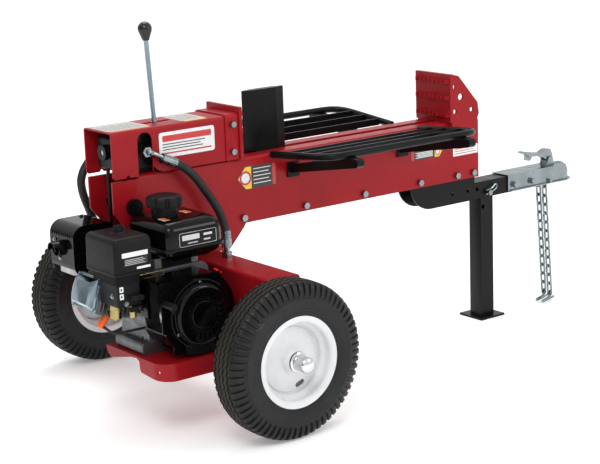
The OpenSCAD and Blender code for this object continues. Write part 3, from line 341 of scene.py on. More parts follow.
def lathe(name, profile, origin, axis, steps):
    """A solid turned from (radius, along) points in millimetres round an axis through origin."""
    sharp = 30
    turn = Vector((0, 0, 1)).rotation_difference(Vector(axis))
    verts = []
    for i in range(steps):
        a = 2 * math.pi * i / steps
        for r, h in profile:
            verts.append(origin + turn @ Vector((r * math.cos(a), r * math.sin(a), h)) * MM)
    n = len(profile)
    faces = []
    for i in range(steps):
        j = (i + 1) % steps
        for k in range(n - 1):
            faces.append((i * n + k, j * n + k, j * n + k + 1, i * n + k + 1))
    obj = mesh_object(name, verts, faces, sharp)
    bm = bmesh.new()
    bm.from_mesh(obj.data)
    bmesh.ops.remove_doubles(bm, verts=bm.verts, dist=1e-6)
    bmesh.ops.holes_fill(bm, edges=bm.edges, sides=0)
    bmesh.ops.recalc_face_normals(bm, faces=bm.faces)
    bm.to_mesh(obj.data)
    bm.free()
    smooth(obj, sharp)
    return obj


def smooth_route(points):
    """A Catmull-Rom curve through the points."""
    steps = 5
    ends = [points[0] * 2 - points[1], *points, points[-1] * 2 - points[-2]]
    route = []
    for p0, p1, p2, p3 in zip(ends, ends[1:], ends[2:], ends[3:]):
        for i in range(steps):
            t = i / steps
            route.append(0.5 * (2 * p1 + (p2 - p0) * t + (2 * p0 - 5 * p1 + 4 * p2 - p3) * t * t
                                + (3 * p1 - p0 - 3 * p2 + p3) * t ** 3))
    route.append(points[-1])
    return route


def tube(name, route, radius, sides, closed=False):
    """A round bar swept along a route, its rings carried without twist."""
    count = len(route)
    verts, faces = [], []
    side = None
    for i, p in enumerate(route):
        if closed:
            d = (route[(i + 1) % count] - route[i - 1]).normalized()
        else:
            d = (route[min(i + 1, count - 1)] - route[max(i - 1, 0)]).normalized()
        if side is None:
            side = d.orthogonal().normalized()
        side = (side - d * side.dot(d)).normalized()
        up = d.cross(side)
        for k in range(sides):
            a = 2 * math.pi * k / sides
            verts.append(p + (side * math.cos(a) + up * math.sin(a)) * radius * MM)
    for i in range(count if closed else count - 1):
        j = (i + 1) % count
        for k in range(sides):
            m = (k + 1) % sides
            faces.append((i * sides + k, i * sides + m, j * sides + m, j * sides + k))
    if not closed:
        faces.append(tuple(range(sides)))
        faces.append(tuple((count - 1) * sides + k for k in range(sides)))
    return mesh_object(name, verts, faces, 50)


def rounded_rect(low, high, radius, steps=6):
    """Corner points of a rectangle with round corners, anticlockwise."""
    points = []
    corners = ((high[0], high[1], 0), (low[0], high[1], 90), (low[0], low[1], 180), (high[0], low[1], 270))
    for cx, cy, start in corners:
        ox = cx - math.copysign(radius, cx - (low[0] + high[0]) / 2)
        oy = cy - math.copysign(radius, cy - (low[1] + high[1]) / 2)
        for i in range(steps + 1):
            a = math.radians(start + 90 * i / steps)
            points.append((ox + radius * math.cos(a), oy + radius * math.sin(a)))
    return points


def loft(name, low, high, levels, place, steps=6):
    """A stack of rounded rectangles. levels are (height, inset, corner radius) in millimetres, and
    place turns a rectangle's point and height into the frame."""
    verts, faces = [], []
    n = 4 * (steps + 1)
    for h, inset, radius in levels:
        for u, v in rounded_rect((low[0] + inset, low[1] + inset), (high[0] - inset, high[1] - inset),
                                 radius, steps):
            verts.append(place(u, v, h))
    for i in range(len(levels) - 1):
        for k in range(n):
            m = (k + 1) % n
            faces.append((i * n + k, i * n + m, (i + 1) * n + m, (i + 1) * n + k))
    faces.append(tuple(range(n)))
    faces.append(tuple((len(levels) - 1) * n + k for k in range(n)))
    return mesh_object(name, verts, faces, 30)


def prism(name, low_ring, high_ring, sharp=35):
    """A solid between two outlines that have the same number of points."""
    n = len(low_ring)
    faces = [(k, (k + 1) % n, n + (k + 1) % n, n + k) for k in range(n)]
    faces += [tuple(range(n)), tuple(range(n, 2 * n))]
    return mesh_object(name, low_ring + high_ring, faces, sharp)


def cut_out(obj, cutter):
    """Takes the cutter's shape out of an object, and removes the cutter."""
    mod = obj.modifiers.new("cut", "BOOLEAN")
    mod.operation = "DIFFERENCE"
    mod.object = cutter
    bake(obj)
    bpy.data.objects.remove(cutter)


def join(name, parts):
    """Makes one object of several, which are removed."""
    bm = bmesh.new()
    for part in parts:
        copy = part.data.copy()
        copy.transform(part.matrix_world)
        bm.from_mesh(copy)
    mesh = bpy.data.meshes.new(name)
    bm.to_mesh(mesh)
    bm.free()
    obj = bpy.data.objects.new(name, mesh)
    bpy.context.scene.collection.objects.link(obj)
    for part in parts:
        bpy.data.objects.remove(part)
    smooth(obj)
    return obj


def hexagon(name, base, axis, across, height):
    """A hexagon head or nut with chamfered corners."""
    chamfer = 1.0
    turn = Vector((0, 0, 1)).rotation_difference(Vector(axis))
    corner = across / 2 / math.cos(math.pi / 6)
    rings = [(corner, 0), (corner, height - chamfer), (corner - chamfer * 1.2, height)]
    verts, faces = [], []
    for radius, h in rings:
        for k in range(6):
            a = math.pi / 3 * k
            verts.append(base + turn @ Vector((radius * math.cos(a), radius * math.sin(a), h)) * MM)
    for i in range(len(rings) - 1):
        for k in range(6):
            m = (k + 1) % 6
            faces.append((i * 6 + k, i * 6 + m, i * 6 + 6 + m, i * 6 + 6 + k))
    faces += [tuple(range(6)), tuple(12 + k for k in range(6))]
    obj = mesh_object(name, verts, faces, 20)
    bevel(obj, 0.5 * MM)
    return bake(obj)


# ---------------------------------------------------------------- wheels

SIDE_SIGN = {"near": -1, "far": 1}
HALF_TRACK = 455.8
TYRE_R = 203
RIM_R = 117.8
TREAD_HALF_W = 31
TREAD_FLOOR_R = 190
CROWN_FALL = 0.012
CROWN_POWER = 1.35
LUGS = 64
# (sideways, depth) points of a tread groove
GROOVE = ((2.9, 0), (2.3, 5.5), (-2.3, 5.5), (-2.9, 0))


def wheel_point(side, r, angle, out):
    """A point on a wheel: radius and outward distance in millimetres, angle in radians from straight
    down, growing towards the hitch."""
    y = SIDE_SIGN[side] * (HALF_TRACK + out)
    return at(r * math.sin(angle), y, TYRE_R - r * math.cos(angle))


def tyre_profile(angle):
    """(radius, out) points of the tyre's section at an angle, from the outer bead over the tread to
    the inner bead, with lugs on the shoulder and zigzag grooves in the tread."""
    lug = 0.5 + 0.5 * math.tanh(6 * (math.sin(LUGS * angle) + 0.3))
    sway = 1.6 * math.asin(math.sin(LUGS * angle))
    bead = [(RIM_R - 11.5, 40), (RIM_R - 1, 46.5), (RIM_R + 3, 48.2), (RIM_R + 6, 48.4)]
    wall = [(RIM_R + 6.8, 49.6), (RIM_R + 9.5, 49.9), (RIM_R + 10.3, 49.0), (RIM_R + 16, 50.2),
            (RIM_R + 17, 51.2), (RIM_R + 18.5, 51.2), (RIM_R + 19.5, 50.6), (RIM_R + 30, 51.6),
            (RIM_R + 40, 51.8), (RIM_R + 41, 51.9), (RIM_R + 43, 51.9), (RIM_R + 44, 50.6),
            (RIM_R + 47, 50.0)]
    shoulder = [(RIM_R + 50, 46.8 + 2.8 * lug), (RIM_R + 60, 43.6 + 5.0 * lug),
                (RIM_R + 70, 39.6 + 6.0 * lug), (RIM_R + 77, 35.6 + 6.4 * lug),
                (RIM_R + 79.4 + 2.4 * lug, 32.6 + 4.2 * lug),
                (RIM_R + 80.4 + 2.8 * lug, 29.8 + 2.0 * lug)]
    half = bead + wall + shoulder

    def grooves(*middles):
        """The outline of the tread across the grooves with those middles."""
        points = []
        for mid in middles:
            for out, depth in GROOVE:
                fall = CROWN_FALL * abs(mid + out) ** CROWN_POWER
                points.append((TYRE_R - fall - depth, mid + out + sway))
        return points
    crown = [(TYRE_R - 0.1, 1.5 + sway * 0.5), (TYRE_R - 0.1, -1.5 + sway * 0.5)]
    inner = [(r, -out) for r, out in reversed(half)]
    return half + grooves(24, 8) + crown + grooves(-8, -24) + inner


def lining():
    """The tyre's inside, from the inner bead back to the outer one."""
    half = [(RIM_R - 12, 33), (RIM_R + 36, 42), (RIM_R + 60, 37), (TYRE_R - 14, 24)]
    return [(r, -out) for r, out in half] + [(r, out) for r, out in reversed(half)]


def ring_mesh(name, side, section_at, steps, sharp):
    """A closed ring whose section may change with the angle."""
    verts, faces = [], []
    for i in range(steps):
        angle = 2 * math.pi * i / steps
        section = section_at(angle)
        n = len(section)
        verts += [wheel_point(side, r, angle, out) for r, out in section]
    for i in range(steps):
        j = (i + 1) % steps
        for k in range(n):
            m = (k + 1) % n
            faces.append((i * n + k, j * n + k, j * n + m, i * n + m))
    return mesh_object(name, verts, faces, sharp)


def make_tyre(side):
    steps = 768
    obj = ring_mesh("tyre_" + side + "_piece", side, lambda a: tyre_profile(a) + lining(), steps, 28)
    finish_piece(obj, "wheel_" + side, "tyre_rubber", ["tyre_" + side])
    middle = wheel_point(side, TYRE_R, 0, 0)

    def on_tread(spot):
        radius = math.hypot(spot.x - AXLE_X, spot.z - TYRE_R * MM)
        return abs(spot.y - middle.y) < TREAD_HALF_W * MM and radius > TREAD_FLOOR_R * MM
    repaint(obj, "tread_rubber", on_tread)


def rim_barrel():
    """(radius, out) points of the rim's outer half section, from the flange's curl to the well."""
    return [(RIM_R - 3.4, 47.4), (RIM_R - 1.6, 47.0), (RIM_R - 0.3, 47.8), (RIM_R - 0.1, 49.0),
            (RIM_R - 1.0, 49.9), (RIM_R - 3.2, 50.0), (RIM_R - 6.5, 49.2), (RIM_R - 13, 48.6),
            (RIM_R - 15.2, 47.2), (99.8, 43.4), (99.4, 41.2), (99.4, 29.4), (98.6, 27.4),
            (94.8, 24.2), (92.4, 22.2), (89.6, 19.4), (88.7, 17.4)]


DISC_THICK = 3.2
SLOT_LOW_R = 66.5
SLOT_HIGH_R = 79.5
SLOT_HALF_ANGLE = math.radians(11.5)
SLOT_ANGLE = math.radians(21)


def disc_face():
    """(radius, out) points of the disc's outer face, from the barrel to the hub tube."""
    return [(88.6, 12.9), (88.2, 11.4), (86.6, 9.4), (84.8, 8.8), (82.6, 11.6), (80.8, 12.1),
            (37.0, 12.1), (33.6, 12.7), (31.2, 14.4), (29.7, 17.2), (28.9, 21.4)]


def slot_cutter(side):
    """The rim slot's shape, bent round the wheel and long enough to pass through the disc."""
    middle_r = (SLOT_LOW_R + SLOT_HIGH_R) / 2
    half = SLOT_HALF_ANGLE * middle_r
    shape = rounded_rect((-half, SLOT_LOW_R), (half, SLOT_HIGH_R), 6.3, 5)
    rings = [[wheel_point(side, r, SLOT_ANGLE + u / middle_r, out) for u, r in shape]
             for out in (0.0, 34.0)]
    return prism("slot_cutter", *rings)


def make_rim(side):
    """The barrel with both flanges, and the dished disc with its slot."""
    outer = rim_barrel()
    back = [(88.7, -17.4), (92.4, -22.2), (98.6, -27.4), (99.4, -41.2), (RIM_R - 15.2, -47.2),
            (RIM_R - 6.5, -49.2), (RIM_R - 1.0, -49.9), (RIM_R - 0.3, -47.8), (RIM_R - 3.4, -47.4),
            (RIM_R - 12.6, -45.6), (102.9, -42.8), (102.9, -26.4), (92, -16)]
    front = [(92, 16), (102.9, 26.4), (102.9, 42.8), (RIM_R - 12.6, 45.6)]
    barrel = ring_mesh("barrel_" + side, side, lambda a: outer + back + front, 160, 32)
    face = disc_face()
    rear = [(r, out - DISC_THICK) for r, out in reversed(face)]
    ring = ring_mesh("disc_" + side, side, lambda a: face + rear, 192, 32)
    cut_out(ring, slot_cutter(side))
    tube_in = [(26.0, 40.9), (26.0, -41.5), (28.9, -41.5), (28.9, 39.4), (28.0, 40.9)]
    hub_tube = ring_mesh("hub_tube_" + side, side, lambda a: tube_in, 72, 32)
    obj = join("rim_" + side + "_piece", [barrel, ring, hub_tube])
    finish_piece(obj, "wheel_" + side, "rim_paint", ["rim_" + side])


def make_hub(side):
    """Bearings, the plated washer and the grease cap with its rolled lip."""
    bearings = [[(13.1, z), (25.4, z), (25.7, z + 0.6), (25.7, z + 13.2), (25.2, z + 13.8),
                 (13.1, z + 13.8)] for z in (-40, 22)]
    parts = [ring_mesh("bearing", side, lambda a, s=s: s, 64, 32) for s in bearings]
    washer = [(13.6, 41.2), (23.2, 41.2), (23.8, 41.8), (23.8, 44.2), (23.0, 44.8), (13.6, 44.8)]
    parts.append(ring_mesh("washer", side, lambda a: washer, 64, 32))
    cap = [(18.0, 44.4), (25.3, 44.4), (25.9, 45.0), (25.9, 46.4), (25.2, 47.0), (22.0, 47.4),
           (20.8, 48.2), (20.4, 50.0), (20.4, 52.6), (19.9, 53.2), (20.4, 53.8), (20.4, 79.0),
           (19.8, 82.6), (18.0, 85.6), (15.2, 87.4), (8.6, 89.6), (6.0, 90.4), (0.05, 90.7),
           (0.05, 88.9), (6.4, 88.2), (16.8, 84.4), (18.6, 79.4), (18.6, 48.6)]
    parts.append(ring_mesh("cap", side, lambda a: cap, 96, 32))
    obj = join("hub_" + side + "_piece", parts)
    finish_piece(obj, "wheel_" + side, "chrome_plate", ["hub_" + side])


# ---------------------------------------------------------------- hoses

HOSE_R = 11
SUCTION_HOSE_R = 14
# the middle lines of the hoses; the return and pressure hoses start at their upper ends
RETURN_ROUTE = [(-86, -92, 668), (-60, -93, 656), (-34, -94, 638), (-8, -96, 612), (14, -99, 580),
                (34, -102, 550), (50, -106, 520), (60, -111, 490), (64, -117, 462), (63, -120, 440)]
PRESSURE_ROUTE = [(-178, 94, 683), (-196, 95, 672), (-214, 95, 657), (-229, 95, 638), (-238, 95, 615),
                  (-237, 96, 590), (-230, 98, 565), (-220, 100, 540), (-208, 104, 512),
                  (-194, 109, 484), (-178, 114, 456), (-162, 118, 430), (-151, 120, 409),
                  (-147, 120, 393)]
SUCTION_ROUTE = [(-30, 120, 215), (-48, 120, 215), (-68, 119, 216), (-90, 118, 219), (-110, 116, 225),
                 (-127, 115, 233), (-140, 113.5, 244), (-146, 113, 254), (-147, 113, 262)]


def make_hose(name, points, radius):
    route = smooth_route([at(*p) for p in points])
    obj = tube(name + "_piece", route, radius, 24)
    finish_piece(obj, ROOT, "hose_rubber", [name])


def ferrule(name, points, radius):
    """A crimped sleeve round the end of a hose, with its ridges."""
    route = [at(*p) for p in points]
    start = route[0]
    axis = (route[1] - start).normalized()
    profile = [(radius - 3, -1.5), (radius + 1.0, -1.5), (radius + 1.6, -0.6)]
    ridges = 5
    pitch = 4.2
    for i in range(ridges):
        low = 1.0 + i * pitch
        profile += [(radius + 1.7, low), (radius + 1.9, low + 0.6), (radius + 1.9, low + 2.4),
                    (radius + 1.1, low + 3.0), (radius + 1.1, low + 3.8)]
    profile += [(radius + 1.6, 22.4), (radius + 0.4, 23.2), (radius - 3, 23.2)]
    obj = lathe(name, profile, start, axis, 48)
    finish_piece(obj, ROOT, "zinc_plate")


# ---------------------------------------------------------------- engine trim

ENGINE = Vector((-31, -52, 13))


def on_engine(x, y, z):
    """A point in the engine's own millimetres."""
    return at(x + ENGINE.x, y + ENGINE.y, z + ENGINE.z)


def make_fuel_tank():
    """Two pressed halves with the seam flange between them, round corners and a filler neck."""
    low, high = (-180, -207), (-8, -16)
    top = [(466.5, 0.4, 22), (490, 0.6, 22), (506, 1.4, 22), (515, 3.4, 21), (522, 7, 21),
           (527.5, 12, 20), (531, 18, 20), (532.6, 26, 20), (532.9, 40, 18)]
    under = [(431.2, 28, 16), (432.4, 24.6, 16), (437, 19, 18), (444, 8, 20), (450, 2, 22),
             (457.8, 0.4, 22)]
    seam = [(458.2, -4.2, 24), (459.2, -4.9, 24), (461.2, -4.9, 24), (461.9, -4.3, 24),
            (462.5, -4.3, 24), (463.2, -4.9, 24), (465.2, -4.9, 24), (466.0, -4.2, 24)]
    parts = [loft("shell", low, high, under + seam + top, on_engine, 12)]
    neck = [(26.2, 0), (29.8, 0), (29.8, 16), (28.6, 18), (29.8, 20), (29.8, 26), (27.4, 27),
            (26.2, 26)]
    parts.append(lathe("neck", neck, on_engine(-121, -112, 525), (0, 0, 1), 64))
    obj = join("fuel_tank_piece", parts)
    finish_piece(obj, ROOT, "engine_black", ["fuel_tank"])


def make_fuel_cap():
    """A domed cap with eight finger scallops, standing on its threaded skirt."""
    origin = on_engine(-121, -112, 535)
    levels = [(24.2, 30.8, 0), (23.0, 0.4, 0.3), (25.0, 0.0, 1.0), (40.0, 0.0, 1.0), (46.0, 1.4, 0.9),
              (49.2, 4.4, 0.6), (50.6, 9.0, 0.3), (50.8, 16.0, 0.1), (50.0, 22.0, 0.0),
              (49.6, 46.4, 0.0)]
    steps = 192
    scallops = 8
    scallop_depth = 7.5
    cap_r = 46.2
    under_side = 24
    verts, faces = [], []
    for h, inset, scallop in levels:
        for i in range(steps):
            a = 2 * math.pi * i / steps
            grip = max(0.0, math.cos(scallops * a + math.pi)) ** 1.3
            r = cap_r - inset - scallop_depth * scallop * grip
            verts.append(origin + Vector((r * math.cos(a), r * math.sin(a), max(h, under_side))) * MM)
    for k in range(len(levels) - 1):
        for i in range(steps):
            j = (i + 1) % steps
            faces.append((k * steps + i, k * steps + j, (k + 1) * steps + j, (k + 1) * steps + i))
    faces += [tuple(range(steps)), tuple((len(levels) - 1) * steps + i for i in range(steps))]
    grip_part = mesh_object("grip", verts, faces, 30)
    skirt = [(30.8, 0.2), (33.2, 0.2), (33.4, 0.8), (33.4, 24.2), (30.8, 24.2)]
    obj = join("fuel_cap_piece", [grip_part, lathe("skirt", skirt, origin, (0, 0, 1), 72)])
    finish_piece(obj, "tank_cap", "black_plastic", ["fuel_cap"])


def make_recoil():
    """The starter's pressed cover: a domed rim, a ring of short radial slots and a raised middle."""
    axis = (0, 1, 0)
    front = on_engine(-116, -262, 303)
    profile = [(71.0, 21.6), (71.0, 4.5), (66, 2.6), (4, 2.6), (0.05, 2.6), (0.05, 0.2), (30, 0.2),
               (33, 0.5), (34.5, 1.6), (38, 1.8), (40, 0.9), (66, 0.4), (71, 1.2), (74.4, 3.4),
               (75.9, 6.6), (75.9, 13.6), (77.2, 14.4), (86.4, 14.4), (87.8, 15.4), (87.8, 21.6)]
    plate = lathe("plate", profile, front, axis, 128)
    shape = rounded_rect((-2.2, 46), (2.2, 62), 2.1, 4)

    def slot(a):
        """A cutter for the slot at that angle."""
        rings = [[front + Vector((u * math.cos(a) + r * math.sin(a), y,
                                  r * math.cos(a) - u * math.sin(a))) * MM
                  for u, r in shape] for y in (-3.0, 4.2)]
        return prism("slot", *rings)
    slots = 24
    cut_out(plate, join("slots", [slot(2 * math.pi * i / slots) for i in range(slots)]))
    bevel(plate, 0.5 * MM)
    finish_piece(plate, ROOT, "engine_black", ["recoil_cover"])
    # a near-black disc just behind the slots: painted shade for the hollow seen through them
    back = lathe("recoil_shade_disc", [(0.05, 5.2), (70.4, 5.2), (70.4, 9.0), (0.05, 9.0)], front, axis, 64)
    finish_piece(back, ROOT, "black_plastic", material="void_painted_shade")
    bolt_r = 80.8
    for k in range(3):
        a = math.radians(90 + 120 * k)
        spot = front + Vector((bolt_r * math.cos(a), 14.4, bolt_r * math.sin(a))) * MM
        bolt = hexagon("recoil_bolt_" + str(k), spot, (0, -1, 0), 8, 4)
        finish_piece(bolt, ROOT, "zinc_plate")


def make_air_cleaner():
    """The lower box with fine ribs round its top, the flange under the cover, and its screws."""
    low, high = (-322, -196), (-256, -84)
    foot = [(345.2, 2.0, 5), (346.5, 0.5, 5), (348, 0, 5)]
    ribs = []
    for z in range(401, 425, 4):
        ribs += [(z, 0.0, 5), (z + 0.4, -1.7, 5), (z + 1.8, -1.7, 5), (z + 2.2, 0.0, 5)]
    body = loft("body", low, high, foot + ribs + [(424.2, 0.0, 5)], on_engine)
    lip = [(424, 0.8, 9), (424.8, 0, 9), (430.6, 0, 9), (431.4, 0.8, 9)]
    flange = loft("flange", (-328, -202), (-220, -58), lip, on_engine)
    stalk = lathe("stalk", [(0.05, 0), (6, 0), (6, 5), (5, 6), (2.2, 6.6), (2.2, 14), (0.05, 14)],
                  on_engine(-262, -197, 366), (0, -1, 0), 32)
    obj = join("air_cleaner_piece", [body, flange, stalk])
    finish_piece(obj, ROOT, "black_plastic", ["air_cleaner"])
    spots = ((on_engine(-298, -196, 353), (0, -1, 0)), (on_engine(-322, -172, 372), (-1, 0, 0)))
    washer_profile = [(2, 0), (6.6, 0), (6.6, 1.2), (6, 1.6), (2, 1.6)]
    for i, (spot, axis) in enumerate(spots):
        washer = lathe("cleaner_washer_" + str(i), washer_profile, spot, axis, 32)
        finish_piece(washer, ROOT, "zinc_plate")
        head = hexagon("cleaner_bolt_" + str(i), spot + Vector(axis) * 1.5 * MM, axis, 8, 3.4)
        finish_piece(head, ROOT, "zinc_plate")


def make_guard_screws():
    """Washered screws on the guard's top and beside its outlet."""
    spots = [(on_engine(-236, 108, 515), (0, 0, 1)), (on_engine(-205, 60, 515), (0, 0, 1)),
             (on_engine(-320, 80, 425), (-1, 0, 0)), (on_engine(-320, 104, 470), (-1, 0, 0))]
    profile = [(0.05, 0.1), (6.4, 0.1), (6.4, 1.0), (5.8, 1.4), (4.6, 1.5), (4.4, 3.2), (3.4, 4.2),
               (0.05, 4.6)]
    for i, (spot, axis) in enumerate(spots):
        screw = lathe("guard_screw_" + str(i), profile, spot, axis, 32)
        finish_piece(screw, ROOT, "engine_black" if axis[2] else "zinc_plate")


def make_cover():
    """The air cleaner's lid: a tall moulded cap with a soft top edge, a lip and a wing nut."""
    sides = [(432.2, 0.6, 9), (433.0, 0.0, 9), (437.0, 0.0, 9), (437.6, 0.8, 9), (500, 1.6, 9),
             (508, 2.6, 9), (513.5, 5.0, 9), (516.6, 9.0, 8), (517.6, 14.0, 8), (517.8, 22.0, 8)]
    body = loft("lid", (-328, -203), (-218, -57), sides, on_engine, 8)
    dish_profile = [(0.05, 0), (19, 0), (18.4, 1.6), (16.6, 2.4), (14.6, 1.0), (6.4, 1.0), (6.0, 8.0),
                    (5.0, 9.4), (0.05, 9.4)]
    dish = lathe("dish", dish_profile, on_engine(-270, -130, 517.7), (0, 0, 1), 48)
    wing_levels = [(521, 0.6, 2.5), (522, 0, 2.5), (535.4, 1.0, 2.5), (537, 2.4, 1.2)]
    wings = loft("wings", (-284, -134), (-256, -126), wing_levels, on_engine)
    obj = join("air_cleaner_cover_piece", [body, dish, wings])
    finish_piece(obj, ROOT, "black_plastic", ["air_cleaner_cover"])


# ---------------------------------------------------------------- stickers

FILM_LIFT = 0.02
FILM_THICK = 0.35


def sticker(name, corners, place, slot_name, material, thick=FILM_THICK):
    """A thin printed film with a cut outline. place turns a flat point and a height into the frame."""
    rings = [[place(u, v, h) for u, v in corners] for h in (FILM_LIFT, thick)]
    finish_piece(prism(name, *rings, 30), ROOT, slot_name, material=material)


def on_near_face(y):
    """A placer for films on a face that looks at -Y, at that y in millimetres from the axle."""
    return lambda u, v, h: at(u, y - h, v)


def arrow(x_tip, x_tail, z_low, z_high, point):
    """An outline pointed at one end, whichever way it looks."""
    mid = (z_low + z_high) / 2
    neck = x_tip + point if x_tip < x_tail else x_tip - point
    return [(x_tip, mid), (neck, z_low), (x_tail, z_low), (x_tail, z_high), (neck, z_high)]


def label(name, low, high, radius, place, slot_name, material, thick=FILM_THICK):
    """A printed rectangle with round corners."""
    sticker(name, rounded_rect(low, high, radius), place, slot_name, material, thick)


# where the printed faces stand, in millimetres from the axle
HOUSING_SIDE_Y = -66.9
HOUSING_TOP_Z = 755.3
BEAM_SIDE_Y = -60.4
# and in the engine's own millimetres
TANK_SIDE_Y = -207
TANK_TOP_Z = 532.9
COVER_SIDE_Y = -203
CLEANER_SIDE_Y = -196


def housing_stickers():
    """A white plate-like label with coloured bands on the housing's side, and two on its top."""
    side = on_near_face(HOUSING_SIDE_Y)
    label("housing_label", (-96, 671), (76, 737), 7, side, "red_paint", "label_white")
    label("housing_band_high", (-86, 712), (66, 728), 3, side, "red_paint", "label_red", 0.5)
    label("housing_band_low", (-86, 680), (66, 684), 1.5, side, "red_paint", "label_red", 0.5)
    for i, length in enumerate((132, 118, 126)):
        z = 704 - 7 * i
        label("housing_line_" + str(i), (-86, z), (length - 86, z + 2.6), 1, side, "red_paint",
              "label_black", 0.5)

    def top(u, v, h):
        return at(u, v, HOUSING_TOP_Z + h)
    for i, (x0, x1) in enumerate(((-232, -108), (-10, 66))):
        name = "housing_top_" + str(i)
        label(name, (x0, -44), (x1, 60), 3, top, "red_paint", "label_grey")
        label(name + "_edge", (x0 + 4, -56), (x1 - 4, -47), 2, top, "red_paint",
              ("label_orange", "label_yellow")[i])
        rows = int((x1 - x0 - 12) / 8)
        for k in range(rows):
            x = x0 + 8 + 8 * k
            label(name + "_line_" + str(k), (x, -36), (x + 2, 52 - 12 * (k % 3)), 0.8, top,
                  "red_paint", "label_black", 0.5)


def arrow_sticker(name, x0, x1, x2, z0, z1):
    """A yellow arrow head with its tip at x0, and a dark panel with pale lines that ends at x2."""
    side = on_near_face(BEAM_SIDE_Y)
    way = 1 if x2 > x0 else -1
    tip = 0.4 * (z1 - z0)
    head = abs(x1 - x0)
    full = abs(x2 - x0)

    def panel(part, start, stop, low, high, material, thick, radius=1.0):
        """A rectangle between two distances behind the tip."""
        left, right = sorted((x0 + way * start, x0 + way * stop))
        label(name + part, (left, low), (right, high), radius, side, "red_paint", material, thick)
    panel("_panel", head - 4, full, z0 + 2, z1 - 2, "label_black", FILM_THICK, 3)
    border = arrow(x0, x1, z0, z1, tip)
    sticker(name + "_border", border, side, "red_paint", "label_black", thick=0.4)
    face = arrow(x0 + way * 3, x1 - way * 2, z0 + 2, z1 - 2, tip - 1)
    sticker(name + "_face", face, side, "red_paint", "label_yellow", thick=0.5)
    middle_x = (x0 + x1) / 2 + way * 3
    middle_z = (z0 + z1) / 2
    rounds = (("_ring", 0.3, "label_red", 0.6), ("_core", 0.21, "label_white", 0.7))
    for part, share, material, thick in rounds:
        r = share * (z1 - z0)
        turns = [a / 16 * math.pi for a in range(32)]
        disc = [(middle_x + r * math.cos(a), middle_z + r * math.sin(a)) for a in turns]
        sticker(name + part, disc, side, "red_paint", material, thick=thick)
    lines = 5
    step = (z1 - z0 - 14) / lines
    for i in range(lines):
        z = z1 - 10 - step * i
        end = full - 18 - 7 * (i % 2)
        panel("_line_" + str(i), head + 5, end, z - 1, z + 1.2, "label_white", 0.5, 0.8)
    panel("_bar", full - 13, full - 2, z0 + 3, z1 - 3, "label_red", 0.5)


def tank_face(u, v, h):
    """A placer on the fuel tank's near side, which leans in a little towards the top."""
    seam_z, bend_z = 466.5, 490
    if v < bend_z:
        lean = 0.4 + 0.2 * (v - seam_z) / (bend_z - seam_z)
    else:
        lean = 0.6 + 0.8 * (v - bend_z) / 16
    return on_engine(u, TANK_SIDE_Y + lean - h, v)


def engine_stickers():
    """The tank's silver outline and bars, the bars on its top and the marks on the air cleaner."""
    outline = [tank_face(u, v, 0.3) for u, v in rounded_rect((-142, 469), (-32, 503), 3, 3)]
    ring = tube("tank_outline", outline, 0.7, 8, closed=True)
    finish_piece(ring, ROOT, "engine_black", material="label_silver")
    bars = (((-134, 484), (-82, 497), 2), ((-70, 489), (-44, 495), 2), ((-70, 477), (-50, 481), 1),
            ((-118, 475), (-88, 477.5), 1))
    for i, (low, high, radius) in enumerate(bars):
        label("tank_bar_" + str(i), low, high, radius, tank_face, "engine_black", "label_silver")

    def tank_top(u, v, h):
        return on_engine(u, v, TANK_TOP_Z + h)

    def cover_side(u, v, h):
        return on_engine(u, COVER_SIDE_Y - h, v)

    def cleaner_side(u, v, h):
        return on_engine(u, CLEANER_SIDE_Y - h, v)
    for i, (x, y) in enumerate(((-152, -168), (-62, -128))):
        label("tank_top_bar_" + str(i), (x, y), (x + 12, y + 34), 2, tank_top, "engine_black",
              "label_orange")
        label("tank_top_edge_" + str(i), (x - 6, y), (x - 1, y + 34), 1, tank_top, "engine_black",
              "label_white")
    plastic = "black_plastic"
    label("cover_bar", (-308, 470), (-234, 482), 1, cover_side, plastic, "label_white")
    label("cover_panel", (-303, 449), (-236, 467), 1, cover_side, plastic, "label_black")
    for i in range(4):
        z = 451 + 4 * i
        label("cover_line_" + str(i), (-300, z), (-242 - 6 * (i % 2), z + 1.2), 0.5, cover_side,
              plastic, "label_silver", 0.5)
    label("cover_mark", (-267, 437), (-228, 443), 1, cover_side, plastic, "label_white")
    for i in range(2):
        z = 386 - 18 * i
        label("cleaner_mark_" + str(i), (-316, z - 2), (-305, z + 12), 1, cleaner_side, plastic,
              "label_white")
        label("cleaner_core_" + str(i), (-313, z + 2), (-309, z + 8), 1, cleaner_side, plastic,
              "label_black", 0.5)


def make_stickers():
    housing_stickers()
    arrow_sticker("beam_arrow", 147, 196, 277, 546, 610)
    arrow_sticker("beam_arrow_small", 886, 852, 762, 538, 570)
    beam = on_near_face(BEAM_SIDE_Y)
    label("beam_label", (927, 530), (1026, 558), 3, beam, "red_paint", "label_white")
    for i in range(3):
        z = 536 + 7 * i
        label("beam_label_line_" + str(i), (934, z), (1018 - 12 * i, z + 2), 0.8, beam, "red_paint",
              "label_red", 0.5)
    engine_stickers()


# ---------------------------------------------------------------- assembly

